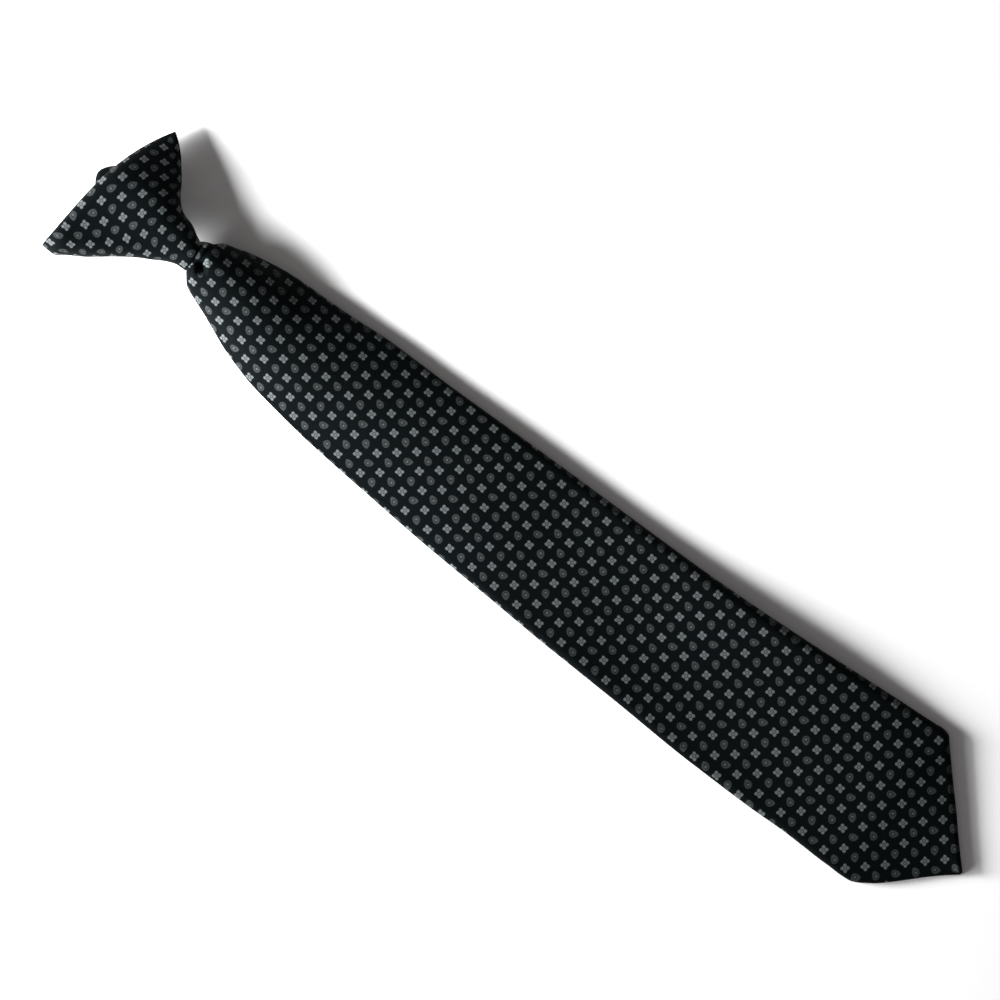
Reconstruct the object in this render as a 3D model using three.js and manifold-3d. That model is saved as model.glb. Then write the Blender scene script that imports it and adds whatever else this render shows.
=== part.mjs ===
// A ready-tied clip-on necktie, lying face up. Millimetres.
// X runs across the tie, Y from its tip up to the collar, and Z up from the surface that it lies on.
// Every cloth piece is one sheet: its middle surface is worked out first, and then gets its thickness.
import * as THREE from 'three';
import Module from 'manifold-3d';
import { mergeVertices } from 'three/addons/utils/BufferGeometryUtils.js';

// Driving sizes of the blade
const bladeLength = 428.6;
const bladeWidth = 77.7;
const bladeWall = 1.3;
const neckInsert = 12;
const seamLap = 7;
const flapGap = 0.2;
const dimpleDepth = 2.8;
const dimpleLength = 26;
const dimpleBreadth = 2.6;
const dimpleOffset = -3.6;

// Driving sizes of the knot
const knotWidth = 75.5;
const knotHeight = 55.4;
const knotWall = 2;
const knotRound = 5.6;
const knotRidge = 3;

// Driving sizes of the inner fold that shows above the knot
const foldWidth = 12;
const foldRise = 1.6;
const foldSlope = 3.6;
const foldWall = 1.6;
const foldBend = 1.7;
const foldDrop = 24;
const foldOffset = 2.3;

// Driving sizes of the clip
const stripThickness = 1;
const plateWidth = 14;
const plateLength = 32;
const tongueWidth = 11;
const tongueLength = 29;
const collarGap = 5.3;
const barLength = 44;
const barWidth = 9;
const barDrop = 9;
const clipSetback = 5.9;
const lipRise = 0.8;
const lipLength = 4;

// Gaps between pieces that touch in the real tie
const seatGap = 0.3;
const neckGap = 0.4;
const seamGap = 0.5;

// The back of the knot lies on the clip's plate
const plateBase = stripThickness + collarGap;
const knotBase = plateBase + stripThickness + seatGap;

// The bend of the clip stays just below the knot's top edge
const clipTop = knotHeight - clipSetback;

// How finely the cloth is divided
const foldSteps = 5;
const frontSteps = 12;
const flapSteps = 4;
const bladeStep = 15;
const knotStep = 3.4;
const bendSteps = 6;
const arcSteps = 10;

// The most of a section's width that one side fold's radius takes, at the very tip
const roundLimit = 0.35;

// A table's rows as objects, one value under each column's name
function table(columns, rows) {
  return rows.map((row) => Object.fromEntries(row.map((value, i) => [columns[i], value])));
}

// The neck inside the knot's foot. above is a share of the neck's length, width a share of the room in the foot,
// round a share of the room for its side folds, and crown the slope in degrees where the front leaves them.
const neckSections = table(
  ['above', 'width', 'round', 'crown'],
  [
    [1, 0.9, 0.93, 12],
    [0.5, 0.97, 0.97, 14],
    [0, 1, 1, 16],
    [-0.06, 1.02, 1, 18],
  ],
);

// The blade from the knot's foot to its tip. along, left and right are shares of the blade's length and width, lift is
// a share of the neck's lift, round of the fold at the neck, lap of the seam's lap, and tuck of the height by which
// the left flap clears the right one. open is how much of the half width the flaps leave bare, and crown is the
// slope in degrees at which the front leaves the side folds.
const bladeSections = table(
  ['along', 'left', 'right', 'lift', 'round', 'crown', 'lap', 'tuck', 'open'],
  [
    [0.005, -0.114, 0.118, 0.95, 0.98, 30, 0, 0, 0.01],
    [0.012, -0.153, 0.153, 0.88, 0.92, 34, 0, 0, 0.01],
    [0.027, -0.184, 0.185, 0.75, 0.84, 33, 0, 1, 0],
    [0.042, -0.213, 0.212, 0.63, 0.76, 29, 0.3, 1, 0],
    [0.061, -0.254, 0.236, 0.51, 0.67, 24, 0.5, 1, 0],
    [0.081, -0.297, 0.257, 0.4, 0.58, 19, 0.7, 1, 0],
    [0.102, -0.329, 0.268, 0.31, 0.52, 16, 0.9, 1, 0],
    [0.122, -0.354, 0.274, 0.23, 0.47, 13.5, 1, 1, 0],
    [0.163, -0.383, 0.291, 0.11, 0.41, 10.5, 1, 1, 0],
    [0.204, -0.405, 0.315, 0.03, 0.37, 8.5, 1, 1, 0],
    [0.285, -0.428, 0.332, 0, 0.33, 6.5, 1, 1, 0],
    [0.367, -0.446, 0.356, 0, 0.31, 5.5, 1, 1, 0],
    [0.448, -0.453, 0.377, 0, 0.3, 5, 1, 1, 0],
    [0.53, -0.461, 0.396, 0, 0.3, 5, 1, 1, 0],
    [0.611, -0.461, 0.418, 0, 0.3, 4.7, 1, 1, 0],
    [0.693, -0.466, 0.453, 0, 0.3, 4.5, 1, 1, 0],
    [0.74, -0.461, 0.478, 0, 0.3, 4.5, 1, 1, 0],
    [0.772, -0.456, 0.497, 0, 0.3, 4.5, 0, 1, 0.005],
    [0.79, -0.452, 0.508, 0, 0.3, 4.5, 0, 0, 0.08],
    [0.84, -0.436, 0.537, 0, 0.3, 4.5, 0, 0, 0.42],
    [0.876, -0.434, 0.556, 0, 0.3, 4.5, 0, 0, 0.66],
    [0.897, -0.43, 0.567, 0, 0.3, 4.5, 0, 0, 0.74],
    [0.914, -0.423, 0.482, 0, 0.3, 4.5, 0, 0, 0.68],
    [0.934, -0.357, 0.361, 0, 0.3, 4.5, 0, 0, 0.55],
    [0.956, -0.24, 0.247, 0, 0.3, 4, 0, 0, 0.3],
    [0.972, -0.145, 0.15, 0, 0.3, 4, 0, 0, 0.1],
    [0.986, -0.07, 0.074, 0, 0.3, 3, 0, 0, 0.06],
    [0.9985, -0.024, 0.024, 0, 0.3, 2, 0, 0, 0.1],
  ],
);

// The knot from its foot to its top edge. leftX, leftY, rightX and rightY place the ends of each slanted section as
// shares of the knot's width and height, and bow lifts its middle by a share of the height. leftRound and rightRound
// are shares of the side fold at the foot, and leftCrown and rightCrown the slopes in degrees where the front
// leaves the folds.
const knotSections = table(
  ['leftX', 'leftY', 'rightX', 'rightY', 'bow', 'leftRound', 'rightRound', 'leftCrown', 'rightCrown'],
  [
    [-0.1, 0.012, 0.1, 0.04, -0.038, 0.95, 0.95, 12, 12],
    [-0.1, 0.08, 0.118, 0.1, -0.02, 1, 1, 20, 20],
    [-0.124, 0.175, 0.14, 0.175, 0, 0.96, 1, 28, 26],
    [-0.16, 0.27, 0.156, 0.3, 0.01, 0.9, 1, 32, 28],
    [-0.208, 0.388, 0.208, 0.395, 0.024, 0.84, 1, 33, 27],
    [-0.287, 0.53, 0.29, 0.475, 0.04, 0.76, 0.98, 32, 24],
    [-0.341, 0.617, 0.352, 0.545, 0.052, 0.7, 0.96, 30, 21],
    [-0.393, 0.704, 0.4, 0.602, 0.064, 0.64, 0.94, 28, 19],
    [-0.45, 0.815, 0.44, 0.66, 0.078, 0.58, 0.9, 26, 17],
    [-0.494, 0.905, 0.468, 0.705, 0.09, 0.5, 0.84, 24, 15],
    [-0.494, 1, 0.488, 0.742, 0.099, 0.4, 0.74, 22, 13],
  ],
);
const knotBowSkew = 0.5;

// A number taken from a table of sections at a place between its rows, on a curve that never overshoots them
function between(rows, ats, key, at) {
  const last = rows.length - 1;
  let row = 0;
  while (row < last - 1 && at > ats[row + 1]) row += 1;
  const slope = (i) => (rows[i + 1][key] - rows[i][key]) / (ats[i + 1] - ats[i]);
  const tangent = (i) => {
    if (i === 0) return slope(0);
    if (i === last) return slope(last - 1);
    const before = slope(i - 1);
    const after = slope(i);
    return before * after <= 0 ? 0 : (2 * before * after) / (before + after);
  };
  const span = ats[row + 1] - ats[row];
  const t = (at - ats[row]) / span;
  const start = rows[row][key] * (1 + 2 * t) * (1 - t) ** 2 + span * tangent(row) * t * (1 - t) ** 2;
  const end = rows[row + 1][key] * t * t * (3 - 2 * t) + span * tangent(row + 1) * t * t * (t - 1);
  return start + end;
}

// All rows of a table with the stretches between them divided, so that no step is longer than the one given
function dividedRows(rows, ats, longest) {
  const made = [];
  for (let i = 0; i < rows.length - 1; i += 1) {
    const count = Math.ceil((ats[i + 1] - ats[i]) / longest - 1e-6);
    for (let k = 0; k < count; k += 1) made.push(ats[i] + ((ats[i + 1] - ats[i]) * k) / count);
  }
  made.push(ats[rows.length - 1]);
  return made.map((at) => {
    const row = { at };
    Object.keys(rows[0]).forEach((key) => {
      row[key] = between(rows, ats, key, at);
    });
    return row;
  });
}

// The front half of a flattened tube, as [x, z] pairs from the bottom of its left fold over the front to the bottom
// of its right fold: an arc, a curve that leaves it in line, and an arc.
function frontOfSection(section) {
  const { left, right, base, leftRound, rightRound, leftCrown, rightCrown } = section;
  const points = [];
  const leftEnd = Math.PI / 2 + leftCrown;
  for (let i = 0; i <= foldSteps; i += 1) {
    const angle = 1.5 * Math.PI + ((leftEnd - 1.5 * Math.PI) * i) / foldSteps;
    const x = left + leftRound * (1 + Math.cos(angle));
    points.push([x, base + leftRound * (1 + Math.sin(angle))]);
  }
  const start = points[points.length - 1];
  const rightStart = Math.PI / 2 - rightCrown;
  const end = [
    right - rightRound * (1 - Math.cos(rightStart)),
    base + rightRound * (1 + Math.sin(rightStart)),
  ];
  const reach = end[0] - start[0];
  for (let i = 1; i < frontSteps; i += 1) {
    const t = i / frontSteps;
    const x = start[0] + reach * t;
    const rise = reach * t * (1 - t) * (Math.tan(leftCrown) * (1 - t) + Math.tan(rightCrown) * t);
    points.push([x, start[1] + (end[1] - start[1]) * t * t * (3 - 2 * t) + rise]);
  }
  for (let i = 0; i <= foldSteps; i += 1) {
    const angle = rightStart - ((rightStart + Math.PI / 2) * i) / foldSteps;
    const x = right - rightRound * (1 - Math.cos(angle));
    points.push([x, base + rightRound * (1 + Math.sin(angle))]);
  }
  return points;
}

// A sheet's middle surface, as rows of points, given its thickness: one closed body. A sheet that goes all the way
// round joins its last column to its first.
function sheetGeometry(grid, wall, round) {
  const rows = grid.length;
  const columns = grid[0].length;
  const at = (i, j) => grid[i][j];
  const column = (j, step) => {
    const next = j + step;
    if (round) return (next + columns) % columns;
    return Math.min(Math.max(next, 0), columns - 1);
  };
  const faces = [[], []];
  for (let i = 0; i < rows; i += 1) {
    for (let j = 0; j < columns; j += 1) {
      const ahead = at(Math.min(i + 1, rows - 1), j);
      const along = ahead.clone().sub(at(Math.max(i - 1, 0), j));
      const across = at(i, column(j, 1)).clone().sub(at(i, column(j, -1)));
      const offset = along.cross(across).normalize().multiplyScalar(wall / 2);
      faces[0].push(at(i, j).clone().add(offset));
      faces[1].push(at(i, j).clone().sub(offset));
    }
  }
  const count = rows * columns;
  const index = [];
  const quad = (a, b, c, d) => index.push(a, b, c, a, c, d);
  const spans = round ? columns : columns - 1;
  for (let i = 0; i < rows - 1; i += 1) {
    for (let j = 0; j < spans; j += 1) {
      const a = i * columns + j;
      const b = i * columns + column(j, 1);
      quad(a, a + columns, b + columns, b);
      quad(count + a, count + b, count + b + columns, count + a + columns);
    }
  }
  for (let j = 0; j < spans; j += 1) {
    const next = column(j, 1);
    const last = (rows - 1) * columns;
    quad(j, next, count + next, count + j);
    quad(last + next, last + j, count + last + j, count + last + next);
  }
  if (!round) {
    for (let i = 0; i < rows - 1; i += 1) {
      const a = i * columns;
      const b = a + columns - 1;
      quad(a + columns, a, count + a, count + a + columns);
      quad(b, b + columns, count + b + columns, count + b);
    }
  }
  const geometry = new THREE.BufferGeometry();
  const positions = faces.flat().flatMap((point) => point.toArray());
  geometry.setAttribute('position', new THREE.Float32BufferAttribute(positions, 3));
  geometry.setIndex(index);
  geometry.computeVertexNormals();
  return geometry;
}

function smoothStep(value) {
  const t = Math.min(Math.max(value, 0), 1);
  return t * t * (3 - 2 * t);
}

// The room in the knot's foot: how far the neck may reach to each side, and the radius of its side folds
const foot = knotSections[0];
const neckLeft = foot.leftX * knotWidth + knotWall + neckGap;
const neckRight = foot.rightX * knotWidth - knotWall - neckGap;
const neckRound = foot.leftRound * knotRound - (knotWall + bladeWall) / 2 - neckGap;
const neckLift = knotBase + knotWall + neckGap;

// The dimple that the knot presses into the front of the blade, left of its middle
function dimple(x, distance) {
  const share = Math.max(distance, 0) / dimpleLength;
  const breadth = dimpleBreadth * (1 + share);
  return dimpleDepth * (1 - smoothStep(share)) * Math.exp(-(((x - dimpleOffset) / breadth) ** 2));
}

// All rows of the neck and the blade, with their lengths in millimetres
function bladeRows() {
  const neck = neckSections.map((row) => ({
    at: -row.above * neckInsert,
    left: neckLeft * row.width,
    right: neckRight * row.width,
    lift: neckLift,
    round: neckRound * row.round,
    crown: row.crown,
    lap: 0,
    tuck: 0,
    open: 0,
  }));
  const blade = bladeSections.map((row) => ({
    at: row.along * bladeLength,
    left: row.left * bladeWidth,
    right: row.right * bladeWidth,
    lift: row.lift * neckLift,
    round: row.round * neckRound,
    crown: row.crown,
    lap: row.lap,
    tuck: row.tuck,
    open: row.open,
  }));
  return [...neck, ...blade];
}

// The two flaps at the back, as [x, z] pairs from the seam to the left fold and from the right fold to the seam. Where
// they lap, the left flap is tucked up under the right one.
function flapsOfSection(section, row, leftStart, rightStart) {
  const middle = (section.left + section.right) / 2;
  const bare = row.open * (section.right - middle - section.rightRound);
  const apart = bare + THREE.MathUtils.lerp(seamGap, -seamLap, row.lap) / 2;
  const tuck = (bladeWall + flapGap) * row.tuck;
  const leftFlap = [];
  const rightFlap = [];
  for (let i = 1; i <= flapSteps; i += 1) {
    const t = i / flapSteps;
    const leftX = leftStart + (middle - apart - leftStart) * t;
    const tucked = smoothStep((leftX - middle + 1.5 * seamLap) / seamLap);
    leftFlap.unshift([leftX, section.base + tuck * tucked]);
    rightFlap.push([rightStart + (middle + apart - rightStart) * t, section.base]);
  }
  return { leftFlap, rightFlap };
}

// The blade: front, side folds and two flaps that lap at the seam and part above the point
function makeBlade() {
  const stations = bladeRows();
  const grid = dividedRows(stations, stations.map((row) => row.at), bladeStep).map((row) => {
    const section = {
      left: row.left + bladeWall / 2,
      right: row.right - bladeWall / 2,
      base: row.lift + bladeWall / 2,
      leftCrown: THREE.MathUtils.degToRad(row.crown),
      rightCrown: THREE.MathUtils.degToRad(row.crown),
    };
    section.leftRound = Math.min(row.round, (section.right - section.left) * roundLimit);
    section.rightRound = section.leftRound;
    const front = frontOfSection(section).map(([x, z]) => {
      const upper = smoothStep((z - section.base) / section.leftRound - 1);
      return [x, z - upper * dimple(x, row.at)];
    });
    const { leftFlap, rightFlap } = flapsOfSection(section, row, front[0][0], front[front.length - 1][0]);
    return [...leftFlap, ...front, ...rightFlap].map(([x, z]) => new THREE.Vector3(x, -row.at, z));
  });
  return sheetGeometry(grid, bladeWall, false);
}

// The ridge that runs from the top of the knot down to its right side, and the fall of the face beyond it. The line
// of the ridge and the reach of its fall are shares of the knot's width and height.
const ridge = { height: 0.86, slant: 0.45, reach: 0.3 };

function ridgeFall(x, y) {
  const beyond = y / knotHeight + (ridge.slant * x) / knotWidth - ridge.height;
  return knotRidge * smoothStep(beyond / ridge.reach);
}

// The knot's middle surface: a band of cloth all the way round the neck, wide and slanted at the top
function knotGrid() {
  const ats = knotSections.map((row) => ((row.leftY + row.rightY) / 2) * knotHeight);
  return dividedRows(knotSections, ats, knotStep).map((row) => {
    const section = {
      left: row.leftX * knotWidth + knotWall / 2,
      right: row.rightX * knotWidth - knotWall / 2,
      base: knotBase + knotWall / 2,
      leftRound: row.leftRound * knotRound,
      rightRound: row.rightRound * knotRound,
      leftCrown: THREE.MathUtils.degToRad(row.leftCrown),
      rightCrown: THREE.MathUtils.degToRad(row.rightCrown),
    };
    const front = frontOfSection(section);
    const back = [];
    const start = front[front.length - 1][0];
    const backSteps = 2 * flapSteps;
    for (let i = 1; i < backSteps; i += 1) {
      back.push([start + ((front[0][0] - start) * i) / backSteps, section.base]);
    }
    const middle = (section.left + section.right) / 2;
    const half = (section.right - section.left) / 2;
    return [...front, ...back].map(([x, z]) => {
      const share = (x - middle) / half;
      const level = THREE.MathUtils.lerp(row.leftY, row.rightY, (share + 1) / 2);
      const bow = row.bow * (1 - share * share) * (1 + knotBowSkew * share);
      const y = (level + bow) * knotHeight;
      const upper = smoothStep((z - section.base) / section.leftRound - 1);
      return new THREE.Vector3(x, y, z - upper * ridgeFall(x, y));
    });
  });
}

// The inner fold: a strip of cloth that comes up inside the knot, peaks above its top edge and turns back down
function makeInnerFold(knot) {
  const columns = 6;
  const legSteps = 3;
  const peak = knotHeight + foldRise - foldWall / 2;
  const above = knot.flat().filter((point) => {
    const near = Math.abs(point.x - foldOffset) < foldWidth / 2 && point.y > peak - foldDrop;
    return near && point.z > knotBase + knotWall;
  });
  const lowest = Math.min(...above.map((point) => point.z));
  const frontLevel = lowest - (knotWall + foldWall) / 2 - seatGap;
  const grid = [];
  for (let j = 0; j <= columns; j += 1) {
    const share = (2 * j) / columns - 1;
    const x = foldOffset + (share * foldWidth) / 2;
    const top = peak - foldSlope * Math.abs(share) ** 1.3;
    const line = [];
    for (let i = 0; i < legSteps; i += 1) {
      const y = peak - foldDrop + ((top - foldBend - peak + foldDrop) * i) / legSteps;
      line.push(new THREE.Vector3(x, y, frontLevel));
    }
    for (let i = 0; i <= bendSteps; i += 1) {
      const angle = (Math.PI * i) / bendSteps;
      const y = top - foldBend + foldBend * Math.sin(angle);
      line.push(new THREE.Vector3(x, y, frontLevel - foldBend + foldBend * Math.cos(angle)));
    }
    for (let i = legSteps - 1; i >= 0; i -= 1) {
      const y = peak - foldDrop + ((top - foldBend - peak + foldDrop) * i) / legSteps;
      line.push(new THREE.Vector3(x, y, frontLevel - 2 * foldBend));
    }
    grid.push(line);
  }
  return sheetGeometry(grid, foldWall, false);
}

// Geometry with its shared corners merged, as a solid that can be joined to another
function toSolid(wasm, geometry) {
  const plain = geometry.clone();
  plain.deleteAttribute('normal');
  plain.deleteAttribute('uv');
  const merged = mergeVertices(plain);
  return new wasm.Manifold(
    new wasm.Mesh({
      numProp: 3,
      vertProperties: new Float32Array(merged.attributes.position.array),
      triVerts: new Uint32Array(merged.index.array),
    }),
  );
}

function toGeometry(solid) {
  const mesh = solid.getMesh();
  const geometry = new THREE.BufferGeometry();
  geometry.setAttribute('position', new THREE.BufferAttribute(mesh.vertProperties, 3));
  geometry.setIndex(new THREE.BufferAttribute(mesh.triVerts, 1));
  geometry.computeVertexNormals();
  return geometry;
}

// A flat bar with round ends, lying across the tie
function roundBar(length, width, thickness) {
  const shape = new THREE.Shape();
  const straight = length / 2 - width / 2;
  shape.moveTo(-straight, -width / 2);
  shape.lineTo(straight, -width / 2);
  shape.absarc(straight, 0, width / 2, -Math.PI / 2, Math.PI / 2);
  shape.lineTo(-straight, width / 2);
  shape.absarc(-straight, 0, width / 2, Math.PI / 2, 1.5 * Math.PI);
  return new THREE.ExtrudeGeometry(shape, { depth: thickness, bevelEnabled: false, curveSegments: arcSteps });
}

// The hook: from the plate round the bend to the tongue, its side outline pushed out across the tie
function hookStrip() {
  const inner = collarGap / 2;
  const outer = inner + stripThickness;
  const bendY = clipTop - outer;
  const tongueEnd = clipTop - tongueLength;
  const shape = new THREE.Shape();
  shape.moveTo(bendY - outer, plateBase);
  shape.lineTo(bendY, plateBase);
  shape.absarc(bendY, outer, inner, Math.PI / 2, -Math.PI / 2, true);
  shape.lineTo(tongueEnd + lipLength, stripThickness);
  shape.lineTo(tongueEnd, stripThickness + lipRise);
  shape.lineTo(tongueEnd, lipRise);
  shape.lineTo(tongueEnd + lipLength, 0);
  shape.lineTo(bendY, 0);
  shape.absarc(bendY, outer, outer, -Math.PI / 2, Math.PI / 2);
  shape.lineTo(bendY - outer, plateBase + stripThickness);
  shape.closePath();
  const geometry = new THREE.ExtrudeGeometry(shape, {
    depth: tongueWidth,
    bevelEnabled: false,
    curveSegments: arcSteps,
  });
  geometry.translate(0, 0, -tongueWidth / 2);
  const acrossTie = new THREE.Matrix4().makeBasis(
    new THREE.Vector3(0, 1, 0),
    new THREE.Vector3(0, 0, 1),
    new THREE.Vector3(1, 0, 0),
  );
  geometry.applyMatrix4(acrossTie);
  return geometry;
}

// The clip: a plate with a bar across it, and the hook that leaves the plate's top end
async function makeClip() {
  const wasm = await Module();
  wasm.setup();
  const plateTop = clipTop - collarGap / 2 - stripThickness;
  const plateEnd = clipTop - plateLength;
  const plate = new THREE.BoxGeometry(plateWidth, plateTop - plateEnd, stripThickness);
  plate.translate(0, (plateTop + plateEnd) / 2, plateBase + stripThickness / 2);
  const bar = roundBar(barLength, barWidth, stripThickness);
  bar.translate(0, clipTop - barDrop, plateBase);
  const hook = toSolid(wasm, hookStrip());
  return toGeometry(hook.add(toSolid(wasm, plate)).add(toSolid(wasm, bar)));
}

const cloth = { color: 0x14191a, roughness: 0.85, metalness: 0 };
const steel = { color: 0xb9bcc0, roughness: 0.35, metalness: 1 };

function namedMesh(name, geometry, look) {
  const mesh = new THREE.Mesh(geometry, new THREE.MeshStandardMaterial(look));
  mesh.name = name;
  return mesh;
}

const tie = new THREE.Group();
tie.add(namedMesh('blade', makeBlade(), cloth));
const knotSheet = knotGrid();
tie.add(namedMesh('knot', sheetGeometry(knotSheet, knotWall, true), cloth));
tie.add(namedMesh('inner_fold', makeInnerFold(knotSheet), cloth));
tie.add(namedMesh('clip', await makeClip(), steel));

// The origin is below the middle of the tie, on the surface that it lies on
const bounds = new THREE.Box3().setFromObject(tie, true);
const centre = bounds.getCenter(new THREE.Vector3());
tie.position.set(-centre.x, -centre.y, -bounds.min.z);

const group = new THREE.Group();
group.add(tie);
group.updateMatrixWorld(true);

export default group;
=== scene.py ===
"""A ready-tied clip-on necktie, lying face up on a pale floor.

The tie is a blade of folded cloth, a knot wrapped round its neck, a small inner fold that peaks above the
knot, and a bent metal clip behind. Everything is in metres: X runs across the tie, Y from its tip up to the
collar, Z up.
"""

import logging
import math
from dataclasses import dataclass, field
from enum import Enum

import bmesh
import bpy
import numpy as np
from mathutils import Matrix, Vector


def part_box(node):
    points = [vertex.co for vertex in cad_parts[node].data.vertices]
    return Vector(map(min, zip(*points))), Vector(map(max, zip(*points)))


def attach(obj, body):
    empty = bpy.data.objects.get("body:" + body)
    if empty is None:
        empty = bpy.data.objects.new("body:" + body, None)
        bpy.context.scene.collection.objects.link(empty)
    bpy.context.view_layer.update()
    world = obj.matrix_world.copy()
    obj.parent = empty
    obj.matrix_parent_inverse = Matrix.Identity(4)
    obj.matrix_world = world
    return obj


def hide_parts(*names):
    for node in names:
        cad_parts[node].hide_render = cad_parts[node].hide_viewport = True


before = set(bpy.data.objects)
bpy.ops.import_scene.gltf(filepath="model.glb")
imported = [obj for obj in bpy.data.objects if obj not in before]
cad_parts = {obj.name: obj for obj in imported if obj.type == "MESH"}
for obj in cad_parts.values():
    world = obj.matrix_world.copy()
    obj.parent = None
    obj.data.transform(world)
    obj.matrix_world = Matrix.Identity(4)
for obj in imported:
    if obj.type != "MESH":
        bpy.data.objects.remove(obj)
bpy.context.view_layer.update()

LOG = logging.getLogger("clip_on_tie")
MM = 0.001
THREADS = "threads"
RIM_STEPS = 3
THREAD_SIDES = 8

VECTOR = "NodeSocketVector"
NUMBER = "NodeSocketFloat"

Socket = bpy.types.NodeSocket
Value = Socket | float
Inputs = dict[str | int, object]
Colour = tuple[float, float, float, float]


# Arithmetic on whole arrays


def smooth(value: np.ndarray | float) -> np.ndarray:
    """A value's smooth step: 0 below 0, 1 above 1, and 3 t^2 - 2 t^3 between."""
    t = np.clip(value, 0.0, 1.0)
    return t * t * (3.0 - 2.0 * t)


@dataclass(frozen=True)
class Wave:
    """A gentle wave in cloth.

    Args:
        height: how far its crests stand up.
        length: from crest to crest.
        turn: the angle from +X to the way that it runs, in radians.
        start: the angle that it starts at, in radians.
    """

    height: float
    length: float
    turn: float
    start: float

    def rise(self, x: np.ndarray, y: np.ndarray) -> np.ndarray:
        """Its height at places across and along: the sine of the distance along its way, over its length."""
        way = x * math.cos(self.turn) + y * math.sin(self.turn)
        return self.height * np.sin(2.0 * math.pi * way / self.length + self.start)


@dataclass(frozen=True)
class SectionTable:
    """A short table of sections along a piece: named columns, and one row for each section.

    Args:
        columns: the names of the columns.
        rows: the values of each section, in the order of the columns.
    """

    columns: tuple[str, ...]
    rows: tuple[tuple[float, ...], ...]

    def column(self, name: str) -> np.ndarray:
        """One column as an array."""
        return np.array(self.rows, float)[:, self.columns.index(name)]

    def named(self) -> dict[str, np.ndarray]:
        """Every column as an array, by its name."""
        return {name: self.column(name) for name in self.columns}


def stations(places: np.ndarray, longest: np.ndarray | float) -> np.ndarray:
    """Places between the rows of a table, with the rows' own places kept.

    Args:
        places: where the rows are, rising.
        longest: the longest step, the same everywhere or one for each pair of rows.

    Returns:
        The rows' places and even steps between them.
    """
    steps = [
        np.linspace(low, high, math.ceil((high - low) / step - 1e-6), endpoint=False)
        for low, high, step in zip(places[:-1], places[1:], np.broadcast_to(longest, len(places) - 1))
    ]
    return np.concatenate([*steps, places[-1:]])


def between(values: np.ndarray, places: np.ndarray, at: np.ndarray) -> np.ndarray:
    """A column's values between its rows, on a cubic curve that never overshoots them.

    A row's tangent is the harmonic mean of the slopes on its two sides, or 0 where the slopes differ in
    sign. Between two rows the curve is the cubic with their values and tangents.

    Args:
        values: the column, one value for each row.
        places: where the rows are, rising.
        at: where the values are wanted. Beyond the ends the first or last cubic goes on.

    Returns:
        The values there.
    """
    slopes = np.diff(values) / np.diff(places)
    product = slopes[:-1] * slopes[1:]
    total = np.where(product > 0.0, slopes[:-1] + slopes[1:], 1.0)
    tangents = np.concatenate([slopes[:1], np.where(product > 0.0, 2.0 * product / total, 0.0), slopes[-1:]])
    row = np.clip(np.searchsorted(places, at, side="right") - 1, 0, len(places) - 2)
    span = places[row + 1] - places[row]
    t = (at - places[row]) / span
    start = values[row] * (1 + 2 * t) * (1 - t) ** 2 + span * tangents[row] * t * (1 - t) ** 2
    end = values[row + 1] * t * t * (3 - 2 * t) + span * tangents[row + 1] * t * t * (t - 1)
    return start + end


def sections_at(columns: dict[str, np.ndarray], places: np.ndarray, at: np.ndarray) -> dict[str, np.ndarray]:
    """Every column of a table at the places wanted, each as an array with one column.

    Args:
        columns: the table's columns by name.
        places: where its rows are.
        at: where the sections are wanted.

    Returns:
        The columns by name, each of shape (len(at), 1).
    """
    return {name: between(values, places, at)[:, None] for name, values in columns.items()}


def tube_front(section: dict[str, np.ndarray], folds: int, across: int) -> tuple[np.ndarray, np.ndarray]:
    """The front of a flattened tube at every section, from the foot of its left fold to that of its right.

    The folds are arcs: x = edge + r (1 + cos a), z = base + r (1 + sin a). The front between them leaves
    each arc in line with it: z goes smoothly from one arc's end to the other's, plus reach t (1 - t) times
    the tangent of the crown, which goes evenly from the left crown to the right one.

    Args:
        section: left, right, base, left_round, right_round, left_crown and right_crown, of shape (rows, 1).
        folds: steps round each fold.
        across: steps over the front.

    Returns:
        x and z, each of shape (rows, 2 folds + across + 1).
    """
    turn = np.linspace(0.0, 1.0, folds + 1)[None, :]
    left_end = 0.5 * math.pi + section["left_crown"]
    angle = 1.5 * math.pi + (left_end - 1.5 * math.pi) * turn
    left_x = section["left"] + section["left_round"] * (1.0 + np.cos(angle))
    left_z = section["base"] + section["left_round"] * (1.0 + np.sin(angle))
    right_start = 0.5 * math.pi - section["right_crown"]
    angle = right_start - (right_start + 0.5 * math.pi) * turn
    right_x = section["right"] - section["right_round"] * (1.0 - np.cos(angle))
    right_z = section["base"] + section["right_round"] * (1.0 + np.sin(angle))
    t = np.linspace(0.0, 1.0, across + 1)[None, 1:-1]
    reach = right_x[:, :1] - left_x[:, -1:]
    slope = np.tan(section["left_crown"]) * (1.0 - t) + np.tan(section["right_crown"]) * t
    front_x = left_x[:, -1:] + reach * t
    front_z = left_z[:, -1:] + (right_z[:, :1] - left_z[:, -1:]) * smooth(t) + reach * t * (1.0 - t) * slope
    return np.hstack([left_x, front_x, right_x]), np.hstack([left_z, front_z, right_z])


def run_length(*coordinates: np.ndarray) -> np.ndarray:
    """How far each column is along its row's line, from the first column, in straight steps."""
    steps = np.sqrt(sum(np.diff(c, axis=1) ** 2 for c in coordinates))
    return np.hstack([np.zeros((len(steps), 1)), np.cumsum(steps, axis=1)])


# Meshes


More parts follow.
